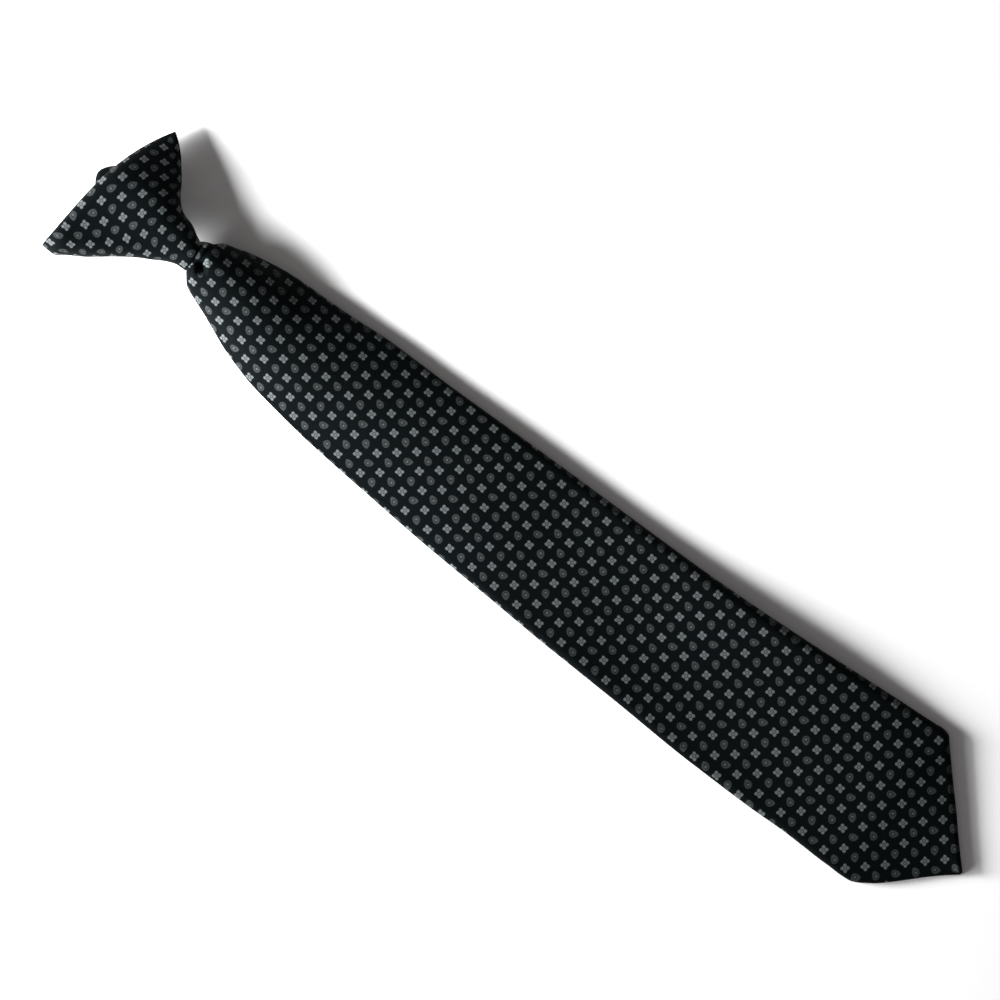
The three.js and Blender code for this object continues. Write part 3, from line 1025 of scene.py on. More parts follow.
@dataclass(frozen=True)
class KnotGrain:
    """How the pattern lies on the knot: its motifs stand in rows across it and in columns up it.

    The wrapping fans them out. The rows slant and bow, crowd together to the right, ease apart towards the
    top and twist at the sides. The columns slant and bow, spread towards the top and crowd together at the
    sides. Round the side folds, past fan_reach, they change no more.
    """

    origin: tuple[float, float] = (0.0, 0.03)
    fan_reach: float = 0.044
    row_count: float = 1.21
    row_pitch: float = 0.00565
    row_slant: float = 0.017
    row_bow: float = 4.86
    row_crowd: float = 3.045
    row_ease: float = 0.7175
    row_twist: float = 17.0
    column_count: float = -1.97
    column_pitch: float = 0.006536
    column_slant: float = 0.0065
    column_bow: float = 0.392
    column_spread: float = 3.405
    column_crowd: float = 176.5

    def threads(self, x: np.ndarray, y: np.ndarray) -> np.ndarray:
        """The pattern's coordinates: half the sum and half the difference of the columns' and rows' counts.

        Args:
            x: the unrolled place across the knot.
            y: the unrolled place along it.

        Returns:
            u and v, stacked on a last axis.
        """
        dx, dy = x - self.origin[0], y - self.origin[1]
        fan = np.clip(dx, -self.fan_reach, self.fan_reach)
        rows = dy * (1.0 + self.row_crowd * fan - self.row_ease * dy) - self.row_slant * dx
        rows = rows - self.row_bow * fan**2 - self.row_twist * fan**3
        columns = dx - (self.column_slant + self.column_spread * fan) * dy
        columns = columns - self.column_bow * fan**2 + self.column_crowd * fan**3
        i = self.column_count - columns / self.column_pitch
        j = self.row_count - rows / self.row_pitch
        return np.stack([0.5 * (i + j), 0.5 * (j - i)], axis=-1)


@dataclass
class Knot:
    """The band of cloth wrapped round the neck: a wide uneven trapezoid, open above and below."""

    place: Place
    width: float = 0.0755
    height: float = 0.0554
    wall: float = 0.0014
    fold: float = 0.0062
    facet_from: tuple[float, float] = (0.0095, 0.035)
    facet_heading: float = math.radians(10.0)
    facet_fall: float = 0.9
    facet_reach: float = 0.0255
    facet_crease: float = 0.005
    bow_skew: float = 0.5
    roll: float = 0.0042
    roll_fall: float = 0.003
    foot_roll: float = 0.003
    foot_fall: float = 0.0012
    droop: float = 0.0055
    droop_above: float = 0.019
    droop_below: float = 0.07
    droop_depth: float = 0.008
    step: float = 0.0006
    fold_steps: int = 14
    front_steps: int = 96
    back_steps: int = 48
    grain: KnotGrain = field(default_factory=KnotGrain)

    @property
    def base(self) -> float:
        """The height at which the back of the knot lies."""
        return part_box("knot")[0].z

    def facet(self, x: np.ndarray, y: np.ndarray) -> np.ndarray:
        """How much of its height the face keeps. Beyond a ridge it slopes down to the right-hand edge.

        With d the distance beyond the ridge, the slope starts over a soft crease, at (d + sqrt(d^2 +
        crease^2)) / 2.

        Args:
            x: places across the knot.
            y: places along it.

        Returns:
            The shares, of the same shape.
        """
        turn = self.facet_heading
        beyond = (x - self.facet_from[0]) * math.cos(turn) + (y - self.facet_from[1]) * math.sin(turn)
        soft = 0.5 * (beyond + np.sqrt(beyond**2 + self.facet_crease**2))
        return 1.0 - self.facet_fall * np.minimum(soft / self.facet_reach, 1.0)

    def sections(self) -> dict[str, np.ndarray]:
        """The table's sections in metres and radians, divided finely from the foot to the top.

        Returns:
            The sections' measures by name, each of shape (rows, 1).
        """
        columns = KNOT_SECTIONS.named()
        places = 0.5 * (columns["left_y"] + columns["right_y"]) * self.height
        rows = sections_at(columns, places, stations(places, self.step))
        return {
            "left": rows["left_x"] * self.width + 0.5 * self.wall,
            "right": rows["right_x"] * self.width - 0.5 * self.wall,
            "base": np.full_like(rows["bow"], self.base + 0.5 * self.wall),
            "left_round": rows["left_round"] * self.fold,
            "right_round": rows["right_round"] * self.fold,
            "left_crown": np.radians(rows["left_crown"]),
            "right_crown": np.radians(rows["right_crown"]),
            "left_y": rows["left_y"],
            "right_y": rows["right_y"],
            "bow": rows["bow"],
        }

    def middle_surface(self) -> tuple[np.ndarray, np.ndarray]:
        """The band's middle surface, and the unrolled place of each of its points.

        Each section is a flattened tube. Its points go up from the slanted line between its ends by a bow,
        a parabola that is higher on the right. The unrolled place is measured along the cloth: across from
        the section's middle, and along from the foot.

        Returns:
            Points of shape (rows, columns, 3), and places of shape (rows, columns, 2).
        """
        section = self.sections()
        x, z = tube_front(section, self.fold_steps, self.front_steps)
        back = np.linspace(0.0, 1.0, self.back_steps + 1)[None, 1:-1]
        back_x = x[:, -1:] + (x[:, :1] - x[:, -1:]) * back
        x = np.hstack([x, back_x])
        z = np.hstack([z, np.broadcast_to(section["base"], back_x.shape)])
        middle = 0.5 * (section["left"] + section["right"])
        half = 0.5 * (section["right"] - section["left"])
        share = (x - middle) / half
        level = section["left_y"] + (section["right_y"] - section["left_y"]) * 0.5 * (share + 1.0)
        bow = section["bow"] * (1.0 - share * share) * (1.0 + self.bow_skew * share)
        y = (level + bow) * self.height
        upper = smooth((z - section["base"]) / section["left_round"] - 1.0)
        z = section["base"] + (z - section["base"]) * self.facet(x, y)
        z = z - upper * self.rolled_edges(y)
        centre = self.fold_steps + self.front_steps // 2
        across = run_length(x, z)
        across = across - across[:, centre : centre + 1] + x[:, centre : centre + 1]
        along = run_length(x.T, y.T, z.T).T + y[:1]
        return self.place.world(x, y, self.drooped(y, z)), np.stack([across, along], axis=-1)

    def drooped(self, y: np.ndarray, z: np.ndarray) -> np.ndarray:
        """Heights once the underside has sunk towards the floor round the knot's foot.

        It sinks by a fixed depth at the foot, times smooth steps that end up the knot, down the blade and
        from the back to the face.

        Args:
            y: places along the tie, from the foot up.
            z: heights.

        Returns:
            The new heights.
        """
        near = smooth(1.0 - y / self.droop_above) * smooth(1.0 + y / self.droop_below)
        under = 1.0 - smooth((z - self.base) / self.droop_depth)
        return z - self.droop * near * under

    def rolled_edges(self, y: np.ndarray) -> np.ndarray:
        """How far the face falls where it rolls over at its top and foot, by quarters of ellipses.

        Args:
            y: places along the knot, with the first row at its foot and the last one at its top.

        Returns:
            The falls, of the same shape.
        """
        fall = np.zeros_like(y)
        top = (y[-1:], self.roll, self.roll_fall)
        foot = (y[:1], self.foot_roll, self.foot_fall)
        for edge, reach, depth in (top, foot):
            inside = np.clip(1.0 - np.abs(edge - y) / reach, 0.0, 1.0)
            fall = fall + depth * (1.0 - np.sqrt(1.0 - inside**2))
        return fall

    def build(self, finishes: Finishes) -> bpy.types.Object:
        """Args:
            finishes: the scene's materials.

        Returns:
            The piece.
        """
        middle, unrolled = self.middle_surface()
        threads = self.grain.threads(unrolled[:, :, 0], unrolled[:, :, 1])
        piece = cloth_piece("knot_cloth", middle, threads, self.wall, closed=True, outward=-1)
        finishes.dress_cloth(piece)
        settle(piece, "knot", "knot")
        return piece


NECK_SECTIONS = SectionTable(
    ("above", "left", "right", "round", "crown"),
    (
        (1, 0.9, 0.9, 0.93, 12),
        (0.5, 0.97, 0.97, 0.97, 14),
        (0.3, 1, 1, 1, 15),
        (0.2, 1, 1.5, 1.03, 17),
        (0.04, 1.02, 1.76, 1.14, 22),
        (-0.04, 1.3, 1.86, 1.2, 26),
    ),
)

BLADE_SECTIONS = SectionTable(
    ("along", "left", "right", "lift", "round", "crown", "lap", "tuck", "open"),
    (
        (0.005, -0.124, 0.118, 0.84, 1.27, 42, 0, 0, 0.01),
        (0.012, -0.163, 0.153, 0.78, 1.2, 45, 0, 0, 0.01),
        (0.027, -0.192, 0.185, 0.69, 1.04, 46, 0, 1, 0),
        (0.042, -0.218, 0.212, 0.59, 0.9, 45, 0.3, 1, 0),
        (0.061, -0.256, 0.236, 0.48, 0.77, 43, 0.5, 1, 0),
        (0.081, -0.297, 0.257, 0.38, 0.68, 41, 0.7, 1, 0),
        (0.102, -0.329, 0.268, 0.3, 0.61, 38, 0.9, 1, 0),
        (0.122, -0.354, 0.274, 0.23, 0.56, 35, 1, 1, 0),
        (0.163, -0.383, 0.291, 0.11, 0.5, 30, 1, 1, 0),
        (0.204, -0.405, 0.315, 0.03, 0.46, 24, 1, 1, 0),
        (0.285, -0.428, 0.332, 0, 0.46, 15.5, 1, 1, 0),
        (0.367, -0.446, 0.356, 0, 0.5, 10, 1, 1, 0),
        (0.448, -0.453, 0.377, 0, 0.54, 3.5, 1, 1, 0),
        (0.53, -0.461, 0.396, 0, 0.56, -1, 1, 1, 0),
        (0.611, -0.461, 0.418, 0, 0.56, -4.5, 1, 1, 0),
        (0.693, -0.466, 0.453, 0, 0.54, -4, 1, 1, 0),
        (0.74, -0.461, 0.478, 0, 0.52, -3, 1, 1, 0),
        (0.772, -0.456, 0.497, 0, 0.49, -2.5, 0, 1, 0.005),
        (0.79, -0.452, 0.508, 0, 0.47, -2, 0, 0, 0.08),
        (0.84, -0.436, 0.537, 0, 0.42, -0.5, 0, 0, 0.42),
        (0.876, -0.434, 0.556, 0, 0.38, 1, 0, 0, 0.66),
        (0.895, -0.43, 0.568, 0, 0.35, 2, 0, 0, 0.74),
        (0.9005, -0.43, 0.5605, 0, 0.34, 2, 0, 0, 0.73),
        (0.905, -0.428, 0.5345, 0, 0.33, 2, 0, 0, 0.71),
        (0.914, -0.423, 0.483, 0, 0.3, 2.5, 0, 0, 0.68),
        (0.934, -0.357, 0.369, 0, 0.27, 3, 0, 0, 0.55),
        (0.956, -0.24, 0.248, 0, 0.25, 3.5, 0, 0, 0.3),
        (0.972, -0.145, 0.155, 0, 0.24, 3.5, 0, 0, 0.1),
        (0.986, -0.07, 0.077, 0, 0.23, 3, 0, 0, 0.06),
        (0.9985, -0.009, 0.01, 0, 0.22, 2, 0, 0, 0.1),
    ),
)

BLADE_GRAIN = SectionTable(
    ("along", "count", "drift", "pitch", "lean"),
    (
        (-0.03, -42.86, 0.75, 5.5, 0.0),
        (0.0, -40.86, 0.77, 5.57, 0.0),
        (0.25, -24.24, 0.95, 5.76, -4.0),
        (0.5, -7.45, 1.2, 5.92, -4.4),
        (0.7, 5.95, 1.45, 6.11, -5.8),
        (0.8, 12.62, 1.62, 6.21, -6.8),
        (0.9, 19.52, 1.83, 6.27, -7.0),
        (1.0, 26.6, 2.04, 6.29, -5.5),
    ),
)


@dataclass
class Blade:
    """The length of folded cloth below the knot: front, side folds, and two flaps that lap at the back."""

    place: Place
    knot: Knot
    length: float = 0.4286
    width: float = 0.0777
    wall: float = 0.0013
    insert: float = 0.012
    neck_gap: float = 0.0004
    seam_lap: float = 0.007
    seam_gap: float = 0.0005
    flap_gap: float = 0.0002
    round_limit: float = 0.35
    left_ease: float = 0.0006
    ease_run: float = 0.03
    right_swell: float = 0.35
    swell_run: float = 0.1
    low_swell: float = 0.45
    low_from: float = 0.35
    low_run: float = 0.3
    pleat_from: tuple[float, float] = (-0.0002, -0.0039)
    pleat_heading: float = math.radians(218.8)
    pleat_depth: float = 0.0046
    pleat_length: float = 0.003
    pleat_floor: float = 0.0046
    pleat_edge: float = 0.0022
    groove_depth: float = 0.0009
    groove_length: float = 0.03
    groove_breadth: float = 0.0034
    long_wave: Wave = Wave(height=0.0008, length=0.13, turn=math.radians(38.0), start=3.4)
    short_wave: Wave = Wave(height=0.0003, length=0.047, turn=math.radians(-24.0), start=1.1)
    waves_from: float = 0.02
    waves_rise: float = 0.06
    tip_calm: float = 0.05
    step: float = 0.0016
    neck_step: float = 0.0004
    neck_end: float = 0.02
    fold_steps: int = 10
    front_steps: int = 84
    flap_steps: int = 14

    def sections(self) -> tuple[np.ndarray, dict[str, np.ndarray]]:
        """How far down each section is, and the sections themselves in metres and radians.

        The neck's sections fit into the foot of the knot, and the blade's follow them down to the tip.

        Returns:
            The distances down, of shape (rows, 1), and the measures by name, of the same shape.
        """
        foot = {name: values[0] for name, values in KNOT_SECTIONS.named().items()}
        room = self.knot.wall + self.neck_gap
        left_room = foot["left_x"] * self.knot.width + room
        right_room = foot["right_x"] * self.knot.width - room
        fold = foot["left_round"] * self.knot.fold - 0.5 * (self.knot.wall + self.wall) - self.neck_gap
        lift = self.knot.base + room
        neck, blade = NECK_SECTIONS.named(), BLADE_SECTIONS.named()
        none = np.zeros(len(neck["above"]))
        columns = {
            "left": np.concatenate([left_room * neck["left"], blade["left"] * self.width]),
            "right": np.concatenate([right_room * neck["right"], blade["right"] * self.width]),
            "lift": np.concatenate([none + lift, blade["lift"] * lift]),
            "round": np.concatenate([neck["round"], blade["round"]]) * fold,
            "crown": np.radians(np.concatenate([neck["crown"], blade["crown"]])),
            "lap": np.concatenate([none, blade["lap"]]),
            "tuck": np.concatenate([none, blade["tuck"]]),
            "open": np.concatenate([none, blade["open"]]),
        }
        places = np.concatenate([-neck["above"] * self.insert, blade["along"] * self.length])
        at = stations(places, np.where(places[1:] < self.neck_end, self.neck_step, self.step))
        rows = sections_at(columns, places, at)
        left = rows["left"] + 0.5 * self.wall - self.left_ease * smooth(at / self.ease_run)[:, None]
        right = rows["right"] - 0.5 * self.wall
        fold_round = np.minimum(rows["round"], (right - left) * self.round_limit)
        low = smooth((at / self.length - self.low_from) / self.low_run)
        swell = self.right_swell * smooth(at / self.swell_run) + self.low_swell * low
        rows.update(
            left=left,
            right=right,
            base=rows["lift"] + 0.5 * self.wall,
            left_round=fold_round,
            right_round=fold_round * (1.0 + swell[:, None]),
            left_crown=rows["crown"],
            right_crown=rows["crown"],
        )
        return at[:, None], rows

    def dimple(self, x: np.ndarray, down: np.ndarray) -> np.ndarray:
        """How deep the knot presses the front in, left of its middle.

        A short pleat runs down to the left from under the knot. On its right is a sharp fold, beside which
        it is deepest, and on its left its floor rises smoothly. A shallow groove, a bell across, goes on
        below it.

        Args:
            x: places across the blade.
            down: distances down it.

        Returns:
            The depths, of shape (rows, columns).
        """
        way_x, way_y = math.cos(self.pleat_heading), math.sin(self.pleat_heading)
        dx, dy = x - self.pleat_from[0], -down - self.pleat_from[1]
        run, off = dx * way_x + dy * way_y, dx * way_y - dy * way_x
        across = np.where(off > 0.0, off / self.pleat_floor, -off / self.pleat_edge)
        ends = smooth((run + self.pleat_length) / self.pleat_length) * smooth(2.0 - run / self.pleat_length)
        pleat = self.pleat_depth * (1.0 - smooth(across)) * ends
        share = np.maximum(down, 0.0) / self.groove_length
        middle = self.pleat_from[0] - self.groove_breadth
        bell = np.exp(-(((x - middle) / (self.groove_breadth * (1.0 + share))) ** 2))
        return pleat + self.groove_depth * (1.0 - smooth(share)) * bell

    def waves(self, x: np.ndarray, down: np.ndarray) -> np.ndarray:
        """How far the front stands up in two gentle slanted waves, from below the neck to the tip.

        Args:
            x: places across the blade.
            down: distances down it.

        Returns:
            The heights, of shape (rows, columns).
        """
        both = self.long_wave.rise(x, down) + self.short_wave.rise(x, down)
        start = smooth((down - self.waves_from) / self.waves_rise)
        return both * start * smooth((self.length - down) / self.tip_calm)

    def apart(self, rows: dict[str, np.ndarray]) -> np.ndarray:
        """How far each flap's edge is from the middle of the back: less than 0 where they lap."""
        bare = rows["open"] * (0.5 * (rows["right"] - rows["left"]) - rows["right_round"])
        return bare + 0.5 * (self.seam_gap + (-self.seam_lap - self.seam_gap) * rows["lap"])

    def seam(self, down: np.ndarray) -> tuple[np.ndarray, np.ndarray]:
        """The edge of the lower flap.

        Args:
            down: distances down the blade.

        Returns:
            Its places across and its heights there.
        """
        at, rows = self.sections()
        edge = 0.5 * (rows["left"] + rows["right"]) + self.apart(rows)
        height = self.knot.drooped(-at, rows["base"])
        return np.interp(down, at[:, 0], edge[:, 0]), np.interp(down, at[:, 0], height[:, 0])

    def flaps(self, rows: dict[str, np.ndarray], x: np.ndarray) -> tuple[np.ndarray, ...]:
        """The two flaps at the back: the left one from the seam out, and the right one from its fold in.

        Where they lap, the left flap is tucked up under the right one by a smooth step.

        Args:
            rows: the sections.
            x: the front's places across.

        Returns:
            x and z of the left flap, and x and z of the right one.
        """
        middle = 0.5 * (rows["left"] + rows["right"])
        apart = self.apart(rows)
        tuck = (self.wall + self.flap_gap) * rows["tuck"]
        t = np.linspace(0.0, 1.0, self.flap_steps + 1)[None, 1:]
        left_x = x[:, :1] + (middle - apart - x[:, :1]) * t
        right_x = x[:, -1:] + (middle + apart - x[:, -1:]) * t
        tucked = smooth((left_x - middle + 1.5 * self.seam_lap) / self.seam_lap)
        left_z = rows["base"] + tuck * tucked
        right_z = np.broadcast_to(rows["base"], right_x.shape)
        return left_x[:, ::-1], left_z[:, ::-1], right_x, right_z

    def threads(self, down: np.ndarray, across: np.ndarray) -> np.ndarray:
        """The pattern's coordinates on the blade.

        Motifs are counted down the blade and across it. Their lattice is cut on the bias, so the cloth's
        two thread directions are the lattice's diagonals: half the sum and half the difference of the
        counts.

        Args:
            down: the distance from the knot's foot, of shape (rows, 1).
            across: the distance from the tie's middle line along the cloth, of shape (rows, columns).

        Returns:
            u and v, stacked on a last axis.
        """
        grain = BLADE_GRAIN.named()
        row = sections_at(grain, grain["along"] * self.length, down[:, 0])
        i = row["count"] + row["lean"] * across
        j = row["drift"] + across / (row["pitch"] * MM)
        return np.stack([0.5 * (i + j), 0.5 * (j - i)], axis=-1)

    def middle_surface(self) -> tuple[np.ndarray, np.ndarray]:
        """The blade's middle surface and the pattern's coordinates on it.

        Returns:
            Points of shape (rows, columns, 3), and threads of shape (rows, columns, 2).
        """
        down, rows = self.sections()
        x, z = tube_front(rows, self.fold_steps, self.front_steps)
        left_x, left_z, right_x, right_z = self.flaps(rows, x)
        start = self.fold_steps + self.flap_steps
        share = -x[:, self.fold_steps] / (x[:, -self.fold_steps - 1] - x[:, self.fold_steps])
        across = run_length(np.hstack([left_x, x, right_x]), np.hstack([left_z, z, right_z]))
        over = across[:, start : start + self.front_steps + 1]
        columns = np.arange(self.front_steps + 1) / self.front_steps
        zero = np.array([np.interp(s, columns, line) for s, line in zip(share, over)])[:, None]
        upper = smooth((z - rows["base"]) / rows["left_round"] - 1.0)
        z = z + upper * (self.waves(x, down) - self.dimple(x, down))
        x, z = np.hstack([left_x, x, right_x]), np.hstack([left_z, z, right_z])
        return self.place.world(x, -down, self.knot.drooped(-down, z)), self.threads(down, across - zero)

    def build(self, finishes: Finishes) -> bpy.types.Object:
        """Args:
            finishes: the scene's materials.

        Returns:
            The piece.
        """
        middle, threads = self.middle_surface()
        piece = cloth_piece("blade_cloth", middle, threads, self.wall, closed=False, outward=1)
        finishes.dress_cloth(piece)
        settle(piece, "blade", "blade")
        return piece


@dataclass
class InnerFold:
    """The inner turn of cloth that peaks above the top edge of the knot."""

    place: Place
    knot: Knot
    width: float = 0.012
    rise: float = 0.0016
    slope: float = 0.0036
    shoulder: float = 1.7
    wall: float = 0.0016
    bend: float = 0.0017
    drop: float = 0.024
    offset: float = 0.0023
    sink: float = 0.0012
    thread_lag: float = 0.0015
    columns: int = 20
    leg_steps: int = 16
    bend_steps: int = 12

    def middle_surface(self) -> tuple[np.ndarray, np.ndarray]:
        """The strip's middle surface: straight up in front, half a circle over, and straight down behind.

        Its top falls from the peak by slope |share|^shoulder to each side.

        Returns:
            Points of shape (columns, rows, 3), and threads of shape (columns, rows, 2).
        """
        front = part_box("inner_fold")[1].z - 0.5 * self.wall - self.sink
        peak = self.knot.height + self.rise - 0.5 * self.wall
        share = np.linspace(-1.0, 1.0, self.columns + 1)[:, None]
        top = peak - self.slope * np.abs(share) ** self.shoulder
        low = peak - self.drop
        leg = np.linspace(0.0, 1.0, self.leg_steps, endpoint=False)[None, :]
        angle = np.linspace(0.0, math.pi, self.bend_steps + 1)[None, :]
        rising = low + (top - self.bend - low) * leg
        over = top - self.bend + self.bend * np.sin(angle)
        y = np.hstack([rising, over, rising[:, ::-1]])
        legs = np.zeros_like(rising)
        z = front + np.hstack([legs, self.bend * (np.cos(angle) - 1.0) + 0.0 * top, legs - 2.0 * self.bend])
        x = self.offset + 0.5 * self.width * share + 0.0 * y
        run = low + run_length(y, z) + self.thread_lag
        return self.place.world(x, y, z), self.knot.grain.threads(x, run)

    def build(self, finishes: Finishes) -> bpy.types.Object:
        """Args:
            finishes: the scene's materials.

        Returns:
            The piece.
        """
        middle, threads = self.middle_surface()
        piece = cloth_piece("inner_fold_cloth", middle, threads, self.wall, closed=False, outward=1)
        finishes.dress_cloth(piece)
        settle(piece, "inner_fold", "inner_fold")
        return piece


@dataclass
class Clip:
    """The bent metal clip behind the knot: a plate with a cross bar, and a hook over the collar band."""

    place: Place
    knot: Knot
    thickness: float = 0.001
    plate_width: float = 0.014
    plate_length: float = 0.032
    tongue_width: float = 0.011
    tongue_length: float = 0.029
    collar_gap: float = 0.0053
    bar_length: float = 0.044
    bar_width: float = 0.009
    bar_drop: float = 0.009
    setback: float = 0.0059
    lip_rise: float = 0.0008
    lip_length: float = 0.004
    lip_curve: float = 1.6
    lead_length: float = 0.004
    bevel: float = 0.00022
    tongue_corner: float = 0.0028
    lead_points: int = 4
    bend_points: int = 40
    back_points: int = 24
    lip_points: int = 14
    outline_steps: int = 720
    bevel_steps: int = 4

    @property
    def top(self) -> float:
        """Where the hook's bend ends, below the top of the knot."""
        return self.knot.height - self.setback

    @property
    def plate_base(self) -> float:
        """The height of the plate's under face."""
        return self.thickness + self.collar_gap

    def plate_outline(self) -> np.ndarray:
        """Points round the plate and its bar, seen from where their middle lines cross.

        Each direction's reach is the longer of two: to the plate's rectangle, and to the bar, a rectangle
        with half circles on its ends, at half_bar |cos| + sqrt(r^2 - (half_bar sin)^2) where the way meets
        a half circle.

        Returns:
            Directions and reaches, of shape (steps, 3): cos, sin and reach.
        """
        angle = np.linspace(0.0, 2.0 * math.pi, self.outline_steps, endpoint=False)
        cosine, sine = np.cos(angle), np.sin(angle)
        slant, rise = np.maximum(np.abs(cosine), 1e-9), np.maximum(np.abs(sine), 1e-9)
        bar_y = self.top - self.bar_drop
        above = self.top - 0.5 * self.collar_gap - self.thickness - bar_y
        below = bar_y - (self.top - self.plate_length)
        plate = np.minimum(0.5 * self.plate_width / slant, np.where(sine > 0.0, above, below) / rise)
        radius = 0.5 * self.bar_width
        half_bar = 0.5 * self.bar_length - radius
        flat = radius / rise
        inside = np.maximum(radius**2 - (half_bar * sine) ** 2, 0.0)
        rounded = half_bar * np.abs(cosine) + np.sqrt(inside)
        bar = np.where(flat * slant < half_bar, flat, rounded)
        return np.stack([cosine, sine, np.maximum(plate, bar)], axis=1)

    def plate_mesh(self) -> tuple[np.ndarray, np.ndarray]:
        """The plate with its bar: its outline at each step of a bevelled section, from pole to pole.

        Returns:
            Points of shape (count, 3), and faces of shape (count, 4).
        """
        outline = self.plate_outline()
        quarter = np.linspace(0.0, 0.5 * math.pi, self.bevel_steps + 1)
        inset = self.bevel * (1.0 - np.sin(quarter))
        lift = self.bevel * (1.0 - np.cos(quarter))
        insets = np.concatenate([inset, inset[::-1]])[:, None]
        heights = np.concatenate([lift, self.thickness - lift[::-1]])
        reach = np.vstack([0.0 * outline[:, 2], outline[:, 2] - insets, 0.0 * outline[:, 2]])
        z = self.plate_base + np.concatenate([[0.0], heights, [self.thickness]])[:, None]
        points = self.place.world(reach * outline[:, 0], self.top - self.bar_drop + reach * outline[:, 1], z)
        return points.reshape(-1, 3), quads(*reach.shape, closed=True)[:, ::-1]

    def hook_path(self) -> np.ndarray:
        """The hook's middle line from the plate over the bend to the end of the tongue.

        Returns:
            y and z, of shape (points, 2).
        """
        middle_radius = 0.5 * (self.collar_gap + self.thickness)
        bend_y = self.top - 0.5 * self.collar_gap - self.thickness
        tongue_end = self.top - self.tongue_length
        half = 0.5 * self.thickness
        top_z = self.plate_base + half
        centre_z = top_z - middle_radius
        angle = np.linspace(0.5 * math.pi, -0.5 * math.pi, self.bend_points)
        bend = np.stack([np.cos(angle), np.sin(angle)], axis=1) * middle_radius + [bend_y, centre_z]
        lead_start = [bend_y - self.lead_length, top_z]
        lead = np.linspace(lead_start, [bend_y, top_z], self.lead_points, endpoint=False)
        back = np.linspace([bend_y, half], [tongue_end + self.lip_length, half], self.back_points)[1:]
        share = np.linspace(0.0, 1.0, self.lip_points)[1:, None]
        lip_z = half + self.lip_rise * share**self.lip_curve
        lip = np.hstack([tongue_end + self.lip_length * (1.0 - share), lip_z])
        return np.concatenate([lead, bend, back, lip])

    def hook_mesh(self) -> tuple[np.ndarray, np.ndarray]:
        """The hook: a flat section with bevelled edges carried along its middle line, closed at both ends.

        The section turns with the line. Near the tongue's end its width falls on a quarter circle, for
        round corners.

        Returns:
            Points of shape (count, 3), and faces of shape (count, 4).
        """
        path = self.hook_path()
        way = np.gradient(path, axis=0)
        way /= np.linalg.norm(way, axis=1, keepdims=True)
        normal = np.stack([-way[:, 1], way[:, 0]], axis=1)
        run = np.concatenate([[0.0], np.cumsum(np.linalg.norm(np.diff(path, axis=0), axis=1))])
        to_end = np.clip((run[-1] - run) / self.tongue_corner, 0.0, 1.0)
        half_width = 0.5 * self.tongue_width - self.tongue_corner * (1.0 - np.sqrt(1.0 - (1.0 - to_end) ** 2))
        quarter = np.linspace(0.0, 0.5 * math.pi, self.bevel_steps + 1)
        corner = np.stack([np.cos(quarter) - 1.0, np.sin(quarter) - 1.0], axis=1) * self.bevel
        signs = np.array([[1, 1], [-1, 1], [-1, -1], [1, -1]])
        ring = np.concatenate([(corner if s[0] * s[1] > 0 else corner[::-1]) * s for s in signs])
        edges = np.repeat(signs, self.bevel_steps + 1, axis=0)
        rows = np.concatenate([[0, 0], np.arange(1, len(path) - 1), [len(path) - 1] * 2])
        scale = np.ones(len(rows))
        scale[[0, -1]] = 0.0
        half = 0.5 * self.thickness
        x = (edges[None, :, 0] * half_width[rows, None] + ring[None, :, 0]) * scale[:, None]
        n = (edges[None, :, 1] * half + ring[None, :, 1]) * scale[:, None]
        y = path[rows, 0][:, None] + normal[rows, 0][:, None] * n
        z = path[rows, 1][:, None] + normal[rows, 1][:, None] * n
        points = self.place.world(x, y, z)
        return points.reshape(-1, 3), quads(*x.shape, closed=True)

    def build(self, finishes: Finishes) -> bpy.types.Object:
        """Makes the plate and the hook as one piece, and dresses it.

        Args:
            finishes: the scene's materials.

        Returns:
            The piece.
        """
        plate_points, plate_faces = self.plate_mesh()
        hook_points, hook_faces = self.hook_mesh()
        piece = new_mesh(
            "clip_strip",
            np.concatenate([plate_points, hook_points]),
            np.concatenate([plate_faces, hook_faces + len(plate_points)]),
        )
        weld(piece)
        piece.data.materials.append(finishes.metal)
        return settle(piece, "clip", "clip")


